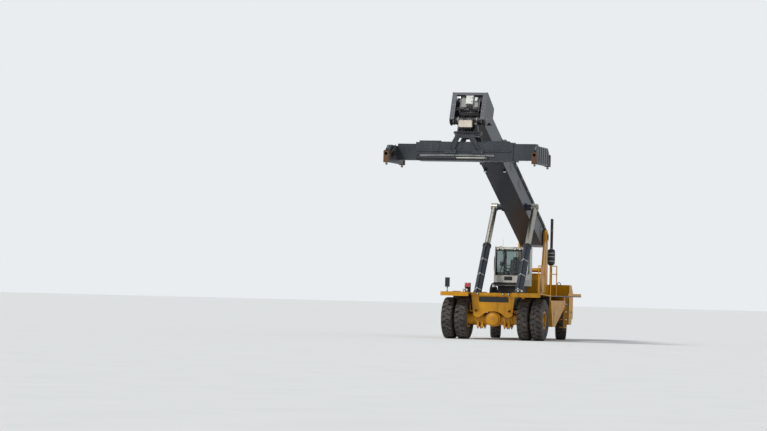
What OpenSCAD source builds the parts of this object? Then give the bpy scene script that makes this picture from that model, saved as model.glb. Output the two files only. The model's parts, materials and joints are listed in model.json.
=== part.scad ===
// Reach stacker: a four-wheel truck with a telescopic boom and a
// side-shifting, slewing, extending lifting frame on its nose.
// Lengths are in millimetres, angles in degrees.
// +X is forward, +Y is the driver's left, +Z is up, z = 0 is the ground.

/* [Wheels] */
// Distance between the drive axle and the steer axle
wheelbase = 6000; // [5600:10:6600]
// Outer diameter of every tyre, over its lugs
tyre_dia = 1670; // [1500:10:1700]
// Section width of every tyre
tyre_w = 460; // [400:5:500]
// Centre to centre of the two tyres of a twin
twin_pitch = 560; // [530:5:600]
// Centre to centre of the two twins on the drive axle
drive_track = 3120; // [3080:10:3300]
// Centre to centre of the steered tyres
steer_track = 2800; // [2760:10:3000]
// Diameter of the wheel rims
rim_dia = 635; // [560:5:700]
// Depth of the tread lugs
lug_depth = 34; // [20:1:45]
// Lugs on each shoulder of a tyre
lug_count = 24; // [16:1:28]

/* [Chassis] */
// Height of the frame rails' top
frame_top = 1790; // [1760:5:1850]
// Height of the frame's underside between the axles
frame_bottom = 720; // [650:5:800]
// Half the width over the two frame rails
rail_y = 460; // [430:5:480]
// Thickness of the rail and tower plates
rail_t = 40; // [25:1:50]
// Front face of the front plate, ahead of the drive axle
nose_x = 420; // [380:5:450]
// Half the width over the fenders and side boxes
body_y = 2060; // [2050:5:2120]
// Rear face of the counterweight, behind the drive axle
tail_x = 7900; // [7700:10:8300]
// Radius of the two lashing eyes in the front plate
lash_r = 55; // [40:1:60]
// Radius of the towing pin bore in the counterweight
tow_r = 30; // [20:1:40]

/* [Boom] */
// Boom pivot behind the drive axle
pivot_back = 6600; // [6400:10:6800]
// Boom pivot above the ground
pivot_z = 4300; // [4280:10:4400]
// Boom angle above level as it stands
boom_angle = 23; // [18:0.5:28]
// Pivot to nose pin along the boom, fully closed
boom_closed = 9400; // [9300:10:9800]
// How far the boom is drawn out as it stands
boom_out = 3100; // [2800:10:3300]
// Nose pin below the boom's centre line
nose_drop = 740; // [700:5:780]
// Width of the outer boom
boom_w = 940; // [860:5:960]
// Height of the outer boom
boom_h = 1000; // [900:5:1040]
// Plate thickness of both boom sections
boom_t = 22; // [16:1:30]
// Gap between the two boom sections for the slide pads
boom_gap = 55; // [40:1:70]

/* [Lift cylinders] */
// Foot pin behind the drive axle
foot_back = 0; // [-60:5:60]
// Foot pin above the ground
foot_z = 1330; // [1310:5:1360]
// Distance of each cylinder from the centre plane
ram_y = 850; // [840:5:860]
// Outer diameter of the cylinder tubes
ram_tube_dia = 320; // [280:2:330]
// Diameter of the chromed rods
ram_rod_dia = 240; // [180:2:250]
// Rod pin ahead of the boom pivot, along the boom
ram_boom_x = 3750; // [3650:10:3850]
// Rod pin below the boom's centre line
ram_boom_drop = 350; // [320:5:380]

/* [Spreader] */
// Nose pin above the landing plane of the corner boxes
hang = 1700; // [1650:5:1800]
// Twistlock spacing across the boom, retracted
lock_span = 5853; // [5800:1:5900]
// Twistlock spacing fore and aft
lock_gauge = 2259; // [2200:1:2300]
// Outer faces of the corner boxes, beyond their locks
corner_edge = 102; // [95:1:110]
// Half the length of the two girders
girder_y = 1930; // [1850:5:2000]
// Width of one girder
girder_w = 400; // [360:5:420]
// Height of one girder
girder_h = 700; // [640:5:740]
// Underside of the girders above the landing plane
girder_lift = 130; // [110:5:135]
// Front face of the front girder ahead of the spreader's centre
girder_x = 520; // [500:5:540]
// Gap between a girder's wall and the arm inside it
arm_gap = 12; // [8:1:20]
// Radius of the lifting eyes in the corner boxes
eye_r = 60; // [45:1:65]

/* [Cab] */
// Front of the cab behind the drive axle
cab_front = 2100; // [2050:10:2200]
// Length of the cab
cab_l = 1750; // [1650:10:1850]
// Width of the cab
cab_w = 1200; // [1100:10:1240]
// Height of the cab's floor
cab_z = 2200; // [2150:5:2240]
// Height of the cab itself
cab_h = 1560; // [1500:5:1580]
// Thickness of the cab's walls and pillars
cab_t = 50; // [40:1:70]

/* [Pose] */
// How far the rear wheels are steered as it stands, 0 is straight ahead
steer_angle = 14; // [0:1:20]

/* [Hidden] */
$fn = 48;

// Colours of the paint and the metals
amber = "#c8860f";
slate = "#3c434c";
dark = "#23262b";
black = "#161719";
chrome = "#a9a79f";
pale = "#d9dad6";
weathered = "#6b4a2c";

// Clearances: a turning pin in its bore, a piece on its seat, parts that pass
pin_fit = 0.05;
rest = 0.3;
pass = 5;

// Boom geometry seen from its pivot: the nose pin along and below the boom
pin_s = boom_closed + boom_out;
pivot_x = -pivot_back;
pin_x = pivot_x + pin_s * cos(boom_angle) + nose_drop * sin(boom_angle);
pin_z = pivot_z + pin_s * sin(boom_angle) - nose_drop * cos(boom_angle);
land_z = pin_z - hang;

// The spreader's corner boxes and overall ends
corner_y = lock_span / 2;
corner_x = lock_gauge / 2;
front_end = pin_x + corner_x + corner_edge;
arm_reach = corner_y + corner_edge;
// The drive axle's place, with the whole object's box centred on the origin
axle_x = (tail_x - front_end) / 2;

// Tyres and wheels
tyre_r = tyre_dia / 2;
rim_r = rim_dia / 2;
twin_y = drive_track / 2;
steer_y = steer_track / 2;
axle_z = tyre_r;
spindle_r = 130;
stub_r = 75;
kingpin_y = steer_y - 390;
kingpin_r = 45;

// Lift cylinder: its line from the foot pin to the rod pin on the boom
foot_x = -foot_back;
ram_x = pivot_x + ram_boom_x * cos(boom_angle) + ram_boom_drop * sin(boom_angle);
ram_z = pivot_z + ram_boom_x * sin(boom_angle) - ram_boom_drop * cos(boom_angle);
ram_len = norm([ram_x - foot_x, ram_z - foot_z]);
ram_lean = atan2(foot_x - ram_x, ram_z - foot_z);
ram_tube_r = ram_tube_dia / 2;
ram_rod_r = ram_rod_dia / 2;
ram_tube_l = 3120;
ram_bore_z = 100;
ram_barrel_z = 160;
rod_start = 1400;
ram_pin_r = 60;
ram_eye_r = 150;
ram_eye_w = 2 * ram_tube_r - 60;

// The inner boom fits the outer one on slide pads
inner_w = boom_w - 2 * boom_t - 2 * boom_gap;
inner_h = boom_h - 2 * boom_t - 2 * boom_gap;
outer_back = 420;
outer_front = 8300;
inner_back = 200 + boom_out;
nose_pin_r = 70;
pivot_r = 110;

// The truck's frame of reference, the boom's and the spreader's
module at_axle() { translate([axle_x, 0, 0]) children(); }
module at_boom() {
    translate([axle_x + pivot_x, 0, pivot_z]) rotate([0, -boom_angle, 0]) children();
}
module at_pin() { translate([axle_x + pin_x, 0, pin_z]) children(); }
module at_land() { translate([axle_x + pin_x, 0, land_z]) children(); }
// Along a lift cylinder, +Z from the foot pin to the rod pin
module at_ram(side) {
    translate([axle_x + foot_x, side * ram_y, foot_z]) rotate([0, -ram_lean, 0]) children();
}

// A bar or tube on the Y axis, centred on y
module y_bar(r, y0, y1) { translate([0, y0, 0]) rotate([-90, 0, 0]) cylinder(r = r, h = y1 - y0); }
module x_bar(r, x0, x1) { translate([x0, 0, 0]) rotate([0, 90, 0]) cylinder(r = r, h = x1 - x0); }
// A plate whose outline lies in the XZ plane, from y0 to y1
module side_plate(points, y0, y1) {
    translate([0, y1, 0]) rotate([90, 0, 0]) linear_extrude(y1 - y0) polygon(points);
}
// A plate whose outline lies in the YZ plane, from x0 to x1
module cross_plate(points, x0, x1) {
    translate([x0, 0, 0]) rotate([90, 0, 90]) linear_extrude(x1 - x0) polygon(points);
}
// A box from its low corner to its high corner
module span_box(low, high) { translate(low) cube(high - low); }
// The same child on both sides of the centre plane
module both_sides() { children(); mirror([0, 1, 0]) children(); }

// Frame: two rails, cross members, the front plate, the cylinder feet, the
// outriggers and the boom towers
deck_z = frame_top;
outrigger_x = [-1080, -3700];
outrigger_t = 120;
outrigger_h = 160;
tower_w = 70;
tower_y = boom_w / 2 + 30;
tower_r = 330;
rail_profile = [
    [nose_x - 40, frame_top], [nose_x - 40, 1200], [-560, 1150], [-820, frame_bottom],
    [-5000, frame_bottom], [-5300, 1110], [-6900, 1110], [-7090, 1200], [-7090, frame_top]];
tower_profile = [
    [pivot_x + 900, frame_top - 250], [pivot_x + 300, pivot_z - 60], [pivot_x - 300, pivot_z - 60],
    [pivot_x - 400, frame_top - 250]];
foot_plate_t = 32;
foot_plate_y = [ram_y - ram_eye_w / 2 - pass - foot_plate_t, ram_y + ram_eye_w / 2 + pass];

module front_plate() {
    top_y = 900;
    low_y = 800;
    arch_r = 700;
    arch_z = 455;
    difference() {
        cross_plate([[-top_y, frame_top + 40], [-low_y, 960], [-low_y + 120, 900],
            [low_y - 120, 900], [low_y, 960], [top_y, frame_top + 40]], nose_x - 40, nose_x);
        translate([0, 0, arch_z]) x_bar(arch_r, nose_x - 41, nose_x + 1);
        for (side = [-1, 1])
            translate([0, side * lash_y, lash_z]) x_bar(lash_r, nose_x - 41, nose_x + 1);
    }
}
lash_y = 690;
lash_z = 1155;

module foot_bracket() {
    lug = [[foot_x - 170, 1180], [foot_x - 120, foot_z + 60], [foot_x + 120, foot_z + 60],
        [foot_x + 170, 1180]];
    for (y = foot_plate_y) difference() {
        union() {
            side_plate(lug, y, y + foot_plate_t);
            translate([foot_x, 0, foot_z]) y_bar(ram_eye_r, y, y + foot_plate_t);
        }
        translate([foot_x, 0, foot_z]) y_bar(ram_pin_r + pin_fit, y - 1, y + foot_plate_t + 1);
    }
    span_box([foot_x - 170, rail_y - rail_t, 1110], [foot_x + 170, foot_plate_y[1] + foot_plate_t, 1180]);
}

module tower() {
    difference() {
        union() {
            side_plate(tower_profile, tower_y, tower_y + tower_w);
            translate([pivot_x, 0, pivot_z]) y_bar(tower_r, tower_y, tower_y + tower_w);
            translate([pivot_x, 0, pivot_z]) y_bar(tower_r - 110, tower_y, tower_y + tower_w + 45);
        }
        translate([pivot_x, 0, pivot_z]) y_bar(pivot_r + pin_fit, tower_y - 1, tower_y + tower_w + 46);
    }
    // foot of the tower plate, down to the rail
    span_box([pivot_x - 400, rail_y - rail_t, frame_top - 250], [pivot_x + 900, tower_y + tower_w, frame_top - 210]);
}

module frame() color(amber) at_axle() {
    both_sides() {
        side_plate(rail_profile, rail_y - rail_t, rail_y);
        foot_bracket();
        tower();
        for (x = outrigger_x)
            span_box([x - outrigger_t / 2, rail_y - 1, frame_top - outrigger_h],
                [x + outrigger_t / 2, body_y - 30, frame_top]);
    }
    front_plate();
    // top beam between the fenders
    span_box([nose_x - 120, -900, frame_top - 20], [nose_x + 60, 900, frame_top + 90]);
    // top and bottom plates and cross members between the rails
    span_box([-1500, -rail_y, frame_top - 25], [nose_x - 20, rail_y, frame_top]);
    for (x = [-900, -2600, -4240, -5760])
        span_box([x, -rail_y + 1, frame_bottom + 40], [x + 60, rail_y - 1, frame_top - 60]);
    span_box([-5300, -rail_y, frame_top - 25], [-4250, rail_y, frame_top]);
    span_box([-7090, -rail_y, frame_top - 300], [-7050, rail_y, frame_top]);
    // cross tube between the towers
    translate([pivot_x + 300, 0, 2900]) y_bar(90, -tower_y - 10, tower_y + 10);
    // hanger of the steer axle
    span_box([-wheelbase - 160, -rail_y + 1, 1120], [-wheelbase + 160, rail_y - 1, 1200]);
}

// Drive axle: banjo housing, two arms and the spindles that carry the hubs
module drive_axle() color(amber) translate([axle_x, 0, axle_z]) {
    x_bar(300, -330, 350);
    x_bar(262, 330, 372);
    x_bar(235, 371, 425);
    translate([424, 0, 0]) rotate([0, 90, 0]) cylinder(r1 = 215, r2 = 130, h = 36);
    x_bar(80, 459, 480);
    both_sides() {
        y_bar(245, 0, 780);
        y_bar(262, 700, 760);
        // clamps that hold the axle under the rails
        for (y = [420, 600]) {
            span_box([-300, y, -330], [300, y + 90, -240]);
            for (x = [-265, 205]) span_box([x, y + 15, -370], [x + 60, y + 75, 200]);
        }
        y_bar(215, 779, 1000);
        y_bar(232, 999, 1290);
        y_bar(spindle_r, 1289, twin_y + 230);
        // rest under the frame rail
        span_box([-260, rail_y - rail_t, 200], [260, rail_y + 60, 1110 - axle_z - rest]);
    }
}

// Steer axle: a box beam with a fork at each end for the kingpin
fork_h = 250;
fork_t = 55;
module steer_axle() color(amber) translate([axle_x - wheelbase, 0, axle_z]) {
    difference() {
        union() {
            side_plate([[-190, -170], [-190, 130], [-110, 190], [110, 190], [190, 130], [190, -170]],
                -kingpin_y + 210, kingpin_y - 210);
            both_sides() for (z = [-fork_h / 2 - fork_t, fork_h / 2]) {
                span_box([-120, kingpin_y - 320, z], [120, kingpin_y, z + fork_t]);
                translate([0, kingpin_y, z]) cylinder(r = 120, h = fork_t);
            }
        }
        both_sides() translate([0, kingpin_y, -fork_h]) cylinder(r = kingpin_r + pin_fit, h = 2 * fork_h);
    }
    span_box([-100, -200, 150], [100, 200, 1120 - axle_z - rest]);
    // steering cylinder behind the beam
    translate([-290, 0, 0]) {
        y_bar(75, -330, 330);
        y_bar(35, -560, 560);
        for (y = [-260, 220]) span_box([0, y, -60], [110, y + 40, 60]);
    }
}

// Front fenders over the twins, with a folded lip in front
fender_t = 40;
fender_rise = 110;
fender_x = 960;
fender_in = 900;
// notch in which each lift cylinder leans
notch_x = [-760, -50];
notch_y = ram_y + ram_tube_r + 30;
module fenders() color(amber) at_axle() both_sides() difference() {
    side_plate([[-1000, frame_top + rest], [-1000, frame_top + fender_t],
        [700, frame_top + fender_rise], [fender_x, frame_top + fender_rise],
        [fender_x, frame_top - 60], [fender_x - 40, frame_top - 60],
        [fender_x - 40, frame_top + fender_rise - fender_t], [700, frame_top + fender_rise - fender_t]],
        fender_in + rest, body_y - 10);
    span_box([notch_x[0], fender_in - 1, frame_top - 1], [notch_x[1], notch_y, frame_top + fender_rise]);
}

// Decks beside the frame: the floor that the cab and hood stand on
deck_t = 40;
hood_x = [-5640, -4260];
hood_y = 800;
hood_h = 900;
hood_t = 8;
// hinge line: barrels and lugs beside the hood's left lower edge
hinge_off = 18;
hinge_z = 20;
barrel_r = 16;
lug_r = 14;
hinge_pin_r = 8;
hinge_at = [-5400, -4560];
hinge_l = 80;
hinge_lug = 14;
module at_hood_hinge() { translate([0, hood_y + hinge_off, deck_z + deck_t + hinge_z]) children(); }
module decks() color(dark) at_axle() {
    both_sides()
        span_box([-6950, rail_y + 160, deck_z + rest], [-1002, body_y - 10, deck_z + deck_t]);
    span_box([-4200, -rail_y - 161, deck_z + rest], [-1502, rail_y + 161, deck_z + deck_t]);
    at_hood_hinge() for (x = hinge_at) {
        for (dx = [-hinge_l / 2 - pass - hinge_lug, hinge_l / 2 + pass]) {
            x_bar(lug_r, x + dx, x + dx + hinge_lug);
            span_box([x + dx, -lug_r, -hinge_z - 1], [x + dx + hinge_lug, lug_r, 0]);
        }
        x_bar(hinge_pin_r, x - hinge_l / 2 - pass - 1, x + hinge_l / 2 + pass + 1);
    }
}

// Side boxes with a raked lower edge that clears both wheels
box_top = frame_top - outrigger_h - rest;
box_profile = [[-1010, box_top], [-1420, 560], [-1900, 560], [-3760, 1400], [-3760, box_top]];
module side_box() side_plate(box_profile, 1180, body_y);
module fuel_tank() color(amber) at_axle() side_box();
module oil_tank() color(amber) at_axle() mirror([0, 1, 0]) side_box();

// Handrails on the left deck and the ladder below it
rail_r = 21;
stair_t = 12;
module handrails() color(amber) at_axle() {
    rail_top = deck_z + 1240;
    for (y = [1500, body_y - 60]) {
        for (x = [-1150, -2250])
            translate([x, y, deck_z + deck_t + rest]) cylinder(r = rail_r, h = rail_top - deck_z - deck_t - rest);
        for (z = [rail_top - 330, rail_top])
            translate([0, y, z]) x_bar(rail_r, -2250, -1150);
    }
    // sheet that closes the inner rail beside the stair head
    side_plate([[-2250, rail_top], [-2250, 1950], [-1800, 1950], [-1480, rail_top]], 1500 - stair_t / 2, 1500 + stair_t / 2);
    // ladder behind the side box
    for (x = [-3860, -4240]) span_box([x - 15, body_y - 90, 500], [x + 15, body_y - 20, deck_z - rest]);
    for (z = [520, 840, 1160, 1480]) span_box([-4240, body_y - 240, z], [-3860, body_y - 20, z + 30]);
}

// Counterweight across the tail, with a towing jaw: a slot and its pin bore
tow_z = [860, 900, 1080, 1180];
module counterweight() color(amber) at_axle() difference() {
    side_plate([[-7090 - rest, 700], [-7090 - rest, 2300], [-7500, 2300], [-tail_x + 120, 2050],
        [-tail_x, 1900], [-tail_x, tow_z[0]], [-tail_x + 200, tow_z[0]], [-tail_x + 280, 620], [-7150, 620]],
        -1500, 1500);
    translate([-tail_x + 90, 0, tow_z[0] - 1]) cylinder(r = tow_r, h = tow_z[3] - tow_z[0] + 1);
    span_box([-tail_x - 1, -160, tow_z[1]], [-tail_x + 180, 160, tow_z[2]]);
}

// Engine block low between the rails, on four feet
engine_x = [-5600, -4340];
module engine() color(dark) at_axle() {
    half = 350;
    span_box([engine_x[0], -half, 850], [engine_x[1], half, 1700]);
    for (x = [engine_x[0] + 150, engine_x[1] - 250])
        span_box([x, -rail_y + rail_t + rest, 1130], [x + 100, rail_y - rail_t - rest, 1190]);
}

// Hood: a thin cover with side grilles, hinged along its left lower edge
module hood() color(amber) at_axle() {
    translate([0, 0, deck_z + deck_t]) difference() {
        side_plate([[hood_x[0], rest], [hood_x[0], hood_h], [hood_x[1] - 200, hood_h],
            [hood_x[1], hood_h - 260], [hood_x[1], rest]], -hood_y, hood_y);
        side_plate([[hood_x[0] + hood_t, -1], [hood_x[0] + hood_t, hood_h - hood_t],
            [hood_x[1] - 204, hood_h - hood_t], [hood_x[1] - hood_t, hood_h - 264],
            [hood_x[1] - hood_t, -1]], -hood_y + hood_t, hood_y - hood_t);
        for (i = [0 : 8])
            span_box([hood_x[0] + 160, -hood_y - 1, 180 + i * 60], [hood_x[1] - 330, hood_y + 1, 215 + i * 60]);
    }
    at_hood_hinge() for (x = hinge_at) difference() {
        union() {
            x_bar(barrel_r, x - hinge_l / 2, x + hinge_l / 2);
            span_box([x - hinge_l / 2, -hinge_off - 1, -6], [x + hinge_l / 2, 0, 6]);
        }
        x_bar(hinge_pin_r + pin_fit, x - hinge_l / 2 - 1, x + hinge_l / 2 + 1);
    }
}

// Exhaust: a muffler on a stand pipe beside the hood
exhaust_x = -3500;
exhaust_y = 1480;
module exhaust() color(dark) at_axle() translate([exhaust_x, exhaust_y, deck_z + deck_t + rest]) {
    cylinder(r = 95, h = 12);
    cylinder(r = 50, h = 1300);
    translate([0, 0, 1240]) cylinder(r1 = 60, r2 = 150, h = 60);
    translate([0, 0, 1299]) cylinder(r = 150, h = 580);
    translate([0, 0, 1878]) cylinder(r1 = 150, r2 = 60, h = 60);
    translate([0, 0, 1900]) difference() {
        cylinder(r = 58, h = 1270);
        translate([0, 0, 1100]) cylinder(r = 50, h = 200);
    }
}

// Cab: a hollow shell with its windows and door opening cut
module at_cab() { translate([axle_x - cab_front, 0, cab_z]) children(); }
cab_rake = 130;
door_x = [-1300, -380];
door_z = [70, 1470];
door_t = 40;
sill = 440;
door_hinge_z = [250, 1250];
door_hinge_h = 80;
function cab_outline(t) = [[-t, t], [-t, sill - 20], [-cab_rake - t, cab_h - t],
    [-cab_l + t, cab_h - t], [-cab_l + t, t]];
module cab() color(pale) at_cab() {
    half = cab_w / 2;
    difference() {
        side_plate(cab_outline(0), -half, half);
        side_plate(cab_outline(cab_t), -half + cab_t, half - cab_t);
        // windscreen, rear window and roof window
        span_box([-cab_rake - 40, -half + 80, sill], [40, half - 80, cab_h - 90]);
        span_box([-cab_l - 1, -half + 120, 620], [-cab_l + cab_t + 1, half - 120, cab_h - 140]);
        span_box([-cab_l + 350, -half + 160, cab_h - cab_t - 1], [-cab_rake - 180, half - 160, cab_h + 1]);
        // side windows and door opening
        span_box([-cab_l + 140, -half - 1, 560], [-330, -half + cab_t + 1, cab_h - 120]);
        span_box([door_x[0], half - cab_t - 1, door_z[0]], [door_x[1], half + 1, door_z[1]]);
    }
    // hinge lugs and pins for the door
    for (z = door_hinge_z) {
        for (dz = [-door_hinge_h / 2 - pass - 12, door_hinge_h / 2 + pass]) translate([door_x[0], half, z + dz]) {
            span_box([-30, -1, 0], [0, 30, 12]);
            span_box([-1, pass, 0], [12, 30, 12]);
        }
        translate([door_x[0], half + 18, z]) cylinder(r = hinge_pin_r, h = door_hinge_h + 2 * pass + 2, center = true);
    }
    // pedestal
    span_box([-cab_l + 150, -half + 150, deck_z + deck_t + rest - cab_z], [-200, half - 150, 0]);
}

module cab_door() color(pale) at_cab() {
    half = cab_w / 2;
    // hinge barrels and their straps
    for (z = door_hinge_z) difference() {
        union() {
            translate([door_x[0], half + 18, z]) cylinder(r = 14, h = door_hinge_h, center = true);
            span_box([door_x[0], half + 10, z - 30], [door_x[0] + 90, half + 18, z + 30]);
            span_box([door_x[0] + 40, half - 1, z - 30], [door_x[0] + 90, half + 18, z + 30]);
        }
        translate([door_x[0], half + 18, z]) cylinder(r = hinge_pin_r + pin_fit, h = door_hinge_h + 2, center = true);
    }
    difference() {
        span_box([door_x[0] + pass, half - door_t, door_z[0] + pass], [door_x[1] - pass, half, door_z[1] - pass]);
        span_box([door_x[0] + 80, half - door_t - 1, 500], [door_x[1] - 80, half + 1, door_z[1] - 80]);
    }
    // handle
    for (x = [-480, -450]) translate([x, 0, 470]) y_bar(6, half - 1, half + 30);
    translate([-480, half + 30, 470]) rotate([0, 90, 0]) cylinder(r = 8, h = 30);
}

glass_t = 6;
module pane(low, high) span_box(low + [rest, rest, rest], high - [rest, rest, rest]);
module cab_glass() color("lightblue", 0.4) at_cab() {
    half = cab_w / 2;
    // raked windscreen
    intersection() {
        side_plate([[-25, sill - 20], [-cab_rake - 25, cab_h], [-cab_rake - 25 - glass_t, cab_h],
            [-25 - glass_t, sill - 20]], -half, half);
        span_box([-300, -half + 80 + rest, sill + rest], [0, half - 80 - rest, cab_h - 90 - rest]);
    }
    pane([-cab_l + 20, -half + 120, 620], [-cab_l + 20 + glass_t + 1, half - 120, cab_h - 140]);
    pane([-cab_l + 350, -half + 160, cab_h - 30], [-cab_rake - 180, half - 160, cab_h - 30 + glass_t + 1]);
    pane([-cab_l + 140, -half + 20, 560], [-330, -half + 20 + glass_t + 1, cab_h - 120]);
}
module door_glass() color("lightblue", 0.4) at_cab()
    pane([door_x[0] + 80, cab_w / 2 - 24, 500], [door_x[1] - 80, cab_w / 2 - 24 + glass_t + 1, door_z[1] - 80]);

// Driver's seat and the steering console
module seat() color(black) at_cab() translate([-1150, 0, cab_t + rest]) {
    cylinder(r = 160, h = 60);
    cylinder(r = 60, h = 330);
    span_box([-240, -240, 320], [260, 240, 440]);
    side_plate([[-240, 440], [-340, 1080], [-230, 1100], [-130, 440]], -230, 230);
}
module console() color(dark) at_cab() translate([-330, 0, cab_t + rest]) {
    span_box([-120, -200, 0], [140, 200, 60]);
    side_plate([[20, 50], [-120, 640], [-60, 660], [110, 50]], -60, 60);
    translate([-95, 0, 630]) rotate([0, -25, 0]) {
        cylinder(r = 30, h = 80);
        translate([0, 0, 80]) rotate_extrude() translate([190, 0]) circle(r = 15);
        for (a = [0, 120, 240]) rotate([0, 90, a]) translate([-80, 0, 0]) cylinder(r = 10, h = 190);
    }
}

// Lamps: heads on short brackets across the front, one red beacon
lamp_places = [[nose_x + 60, -620, 1835, 45], [nose_x + 60, 430, 1835, 45], [nose_x + 60, 660, 1835, 45]];
fender_lamps = [[880, -975, 55], [880, 1130, 55], [880, 1290, 55]];
module lamps() color(black) at_axle() {
    for (p = lamp_places) translate([0, p[1], p[2]]) x_bar(p[3], p[0] + rest, p[0] + 70);
    for (p = fender_lamps) translate([p[0], p[1], frame_top + fender_rise + rest]) {
        cylinder(r = 14, h = 60);
        translate([0, 0, 80]) x_bar(p[2], -40, 40);
    }
}

// Mirror on the right fender
module mirrors() color(black) at_axle() translate([880, -1790, frame_top + fender_rise + rest]) {
    cylinder(r = 16, h = 300);
    span_box([-30, -90, 180], [30, 90, 560]);
}

// Lift cylinders: tubes on the foot pins, rods that end in a closed eye
module lift_tubes() color(slate) for (side = [-1, 1]) at_ram(side) {
    half = ram_eye_w / 2;
    difference() {
        union() {
            y_bar(ram_eye_r - 20, -half, half);
            // neck between the foot's lugs
            cylinder(r = half - 2, h = ram_barrel_z + 1);
            translate([0, 0, ram_barrel_z]) cylinder(r = ram_tube_r, h = ram_tube_l - ram_barrel_z);
            translate([0, 0, ram_tube_l - 90]) cylinder(r = ram_tube_r + 12, h = 90);
        }
        translate([0, 0, ram_bore_z]) cylinder(r = ram_rod_r + pin_fit, h = ram_tube_l);
    }
    // foot pin through the eye and both lugs
    y_bar(ram_pin_r, -half - pass - foot_plate_t, half + pass + foot_plate_t);
}
module lift_rods() color(chrome) for (side = [-1, 1]) at_ram(side) {
    half = ram_eye_w / 2;
    translate([0, 0, rod_start]) cylinder(r = ram_rod_r, h = ram_len - rod_start - 100);
    translate([0, 0, ram_len]) y_bar(ram_eye_r, -half, half);
    translate([0, 0, ram_len]) y_bar(ram_pin_r, -half - 20, half + 20);
}

// Outer boom: a hollow box girder on its pivot pin, with bosses for the rods
module box_tube(x0, x1, w, h, t) {
    difference() {
        span_box([x0, -w / 2, -h / 2], [x1, w / 2, h / 2]);
        span_box([x0 - 1, -w / 2 + t, -h / 2 + t], [x1 + 1, w / 2 - t, h / 2 - t]);
    }
}
boss_end = ram_y - ram_eye_w / 2 - 20 - pass;
module boom_outer() color(slate) at_boom() {
    half_w = boom_w / 2;
    half_h = boom_h / 2;
    difference() {
        side_plate([[-300, -half_h + 160], [-outer_back, 0], [-300, half_h - 160], [300, half_h],
            [outer_front, half_h], [outer_front, -half_h], [300, -half_h]], -half_w, half_w);
        side_plate([[-300 + boom_t, -half_h + 170], [-outer_back + boom_t, 0],
            [-300 + boom_t, half_h - 170], [300, half_h - boom_t], [outer_front + 1, half_h - boom_t],
            [outer_front + 1, -half_h + boom_t], [300, -half_h + boom_t]],
            -half_w + boom_t, half_w - boom_t);
    }
    // pivot pin through both towers
    y_bar(pivot_r + 50, -half_w - 15, half_w + 15);
    y_bar(pivot_r, -tower_y - tower_w - 60, tower_y + tower_w + 60);
    // bosses that face the rods' eyes
    both_sides() translate([ram_boom_x, 0, -ram_boom_drop]) {
        y_bar(170, half_w - 1, half_w + 60);
        y_bar(120, half_w + 59, boss_end);
    }
    // stiffening collar at the mouth
    difference() {
        span_box([outer_front - 180, -half_w - 25, -half_h - 25], [outer_front, half_w + 25, half_h + 25]);
        span_box([outer_front - 181, -half_w + 1, -half_h + 1], [outer_front + 1, half_w - 1, half_h - 1]);
    }
}

// Inner boom: slides in the outer one on pads
inner_front = pin_s + 60;
module boom_inner() color(slate) at_boom() {
    box_tube(inner_back, inner_front, inner_w, inner_h, boom_t);
    span_box([inner_front, -inner_w / 2, -inner_h / 2], [inner_front + 20, inner_w / 2, inner_h / 2]);
    // slide pads near the back end
    reach = boom_gap - 1;
    for (z = [-1, 1]) for (y = [-1, 1])
        translate([inner_back + 270, y * (inner_w / 2 - 120), z * (inner_h / 2 + reach / 2)])
            cube([300, 140, reach], center = true);
}

// Nose: two cheek plates joined across, carrying the nose pin
cheek_y = 700;
cheek_t = 50;
flange_y = 185;
cheek_profile = [[-1000, 1020], [230, 1120], [230, -60], [100, -170], [-100, -170],
    [-560, 240], [-1000, 300]];
module boom_nose() color(slate) at_boom() translate([pin_s, 0, -nose_drop]) {
    half_w = inner_w / 2 + rest;
    half_h = inner_h / 2 + rest;
    difference() {
        both_sides() side_plate(cheek_profile, cheek_y - cheek_t, cheek_y);
        y_bar(nose_pin_r + pin_fit, -cheek_y - 1, cheek_y + 1);
    }
    // web plates round the inner boom
    for (x = [-1000, -300]) difference() {
        span_box([x, -cheek_y + 1, 290], [x + 40, cheek_y - 1, 1010]);
        span_box([x - 1, -half_w, nose_drop - half_h], [x + 41, half_w, nose_drop + half_h]);
    }
    // front flanges of the cheeks and the cross beam at the top front
    both_sides() span_box([190, cheek_y - flange_y, -60], [230, cheek_y, 1110]);
    span_box([110, -cheek_y + 1, 1000], [230, cheek_y - 1, 1110]);
}

// Electrical boxes and the valve plate on the boom's end
module nose_gear() color(pale) at_boom() translate([inner_front + 20 + rest, 0, 0]) {
    span_box([0, -330, -200], [20, 330, 300]);
    span_box([19, -140, -110], [130, 140, 240]);
    span_box([19, 200, 40], [90, 300, 190]);
}

// Yoke: hangs from the nose pin and carries the slewing ring
ring_r = 560;
ring_z = 1200;
module yoke() color(dark) at_pin() {
    ring_top = ring_z - hang;
    y_bar(nose_pin_r, -cheek_y - 30, cheek_y + 30);
    y_bar(150, -cheek_y + cheek_t + pass, cheek_y - cheek_t - pass);
    both_sides() side_plate([[-130, 0], [130, 0], [360, ring_top + 60], [-360, ring_top + 60]], 300, 350);
    side_plate([[-100, 0], [100, 0], [200, ring_top + 60], [-200, ring_top + 60]], -300, 300);
    translate([0, 0, ring_top]) cylinder(r = ring_r, h = 60);
    // slewing motors with their brakes, and the valve block in front
    for (a = [55, 235]) rotate([0, 0, a]) translate([ring_r - 110, 0, ring_top + 59]) {
        cylinder(r = 95, h = 120);
        cylinder(r = 70, h = 250);
        translate([0, 0, 249]) cylinder(r1 = 70, r2 = 50, h = 40);
    }
    span_box([360, -250, ring_top + 200], [480, 250, ring_top + 480]);
    span_box([60, -190, ring_top + 240], [361, 190, ring_top + 440]);
}

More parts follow.
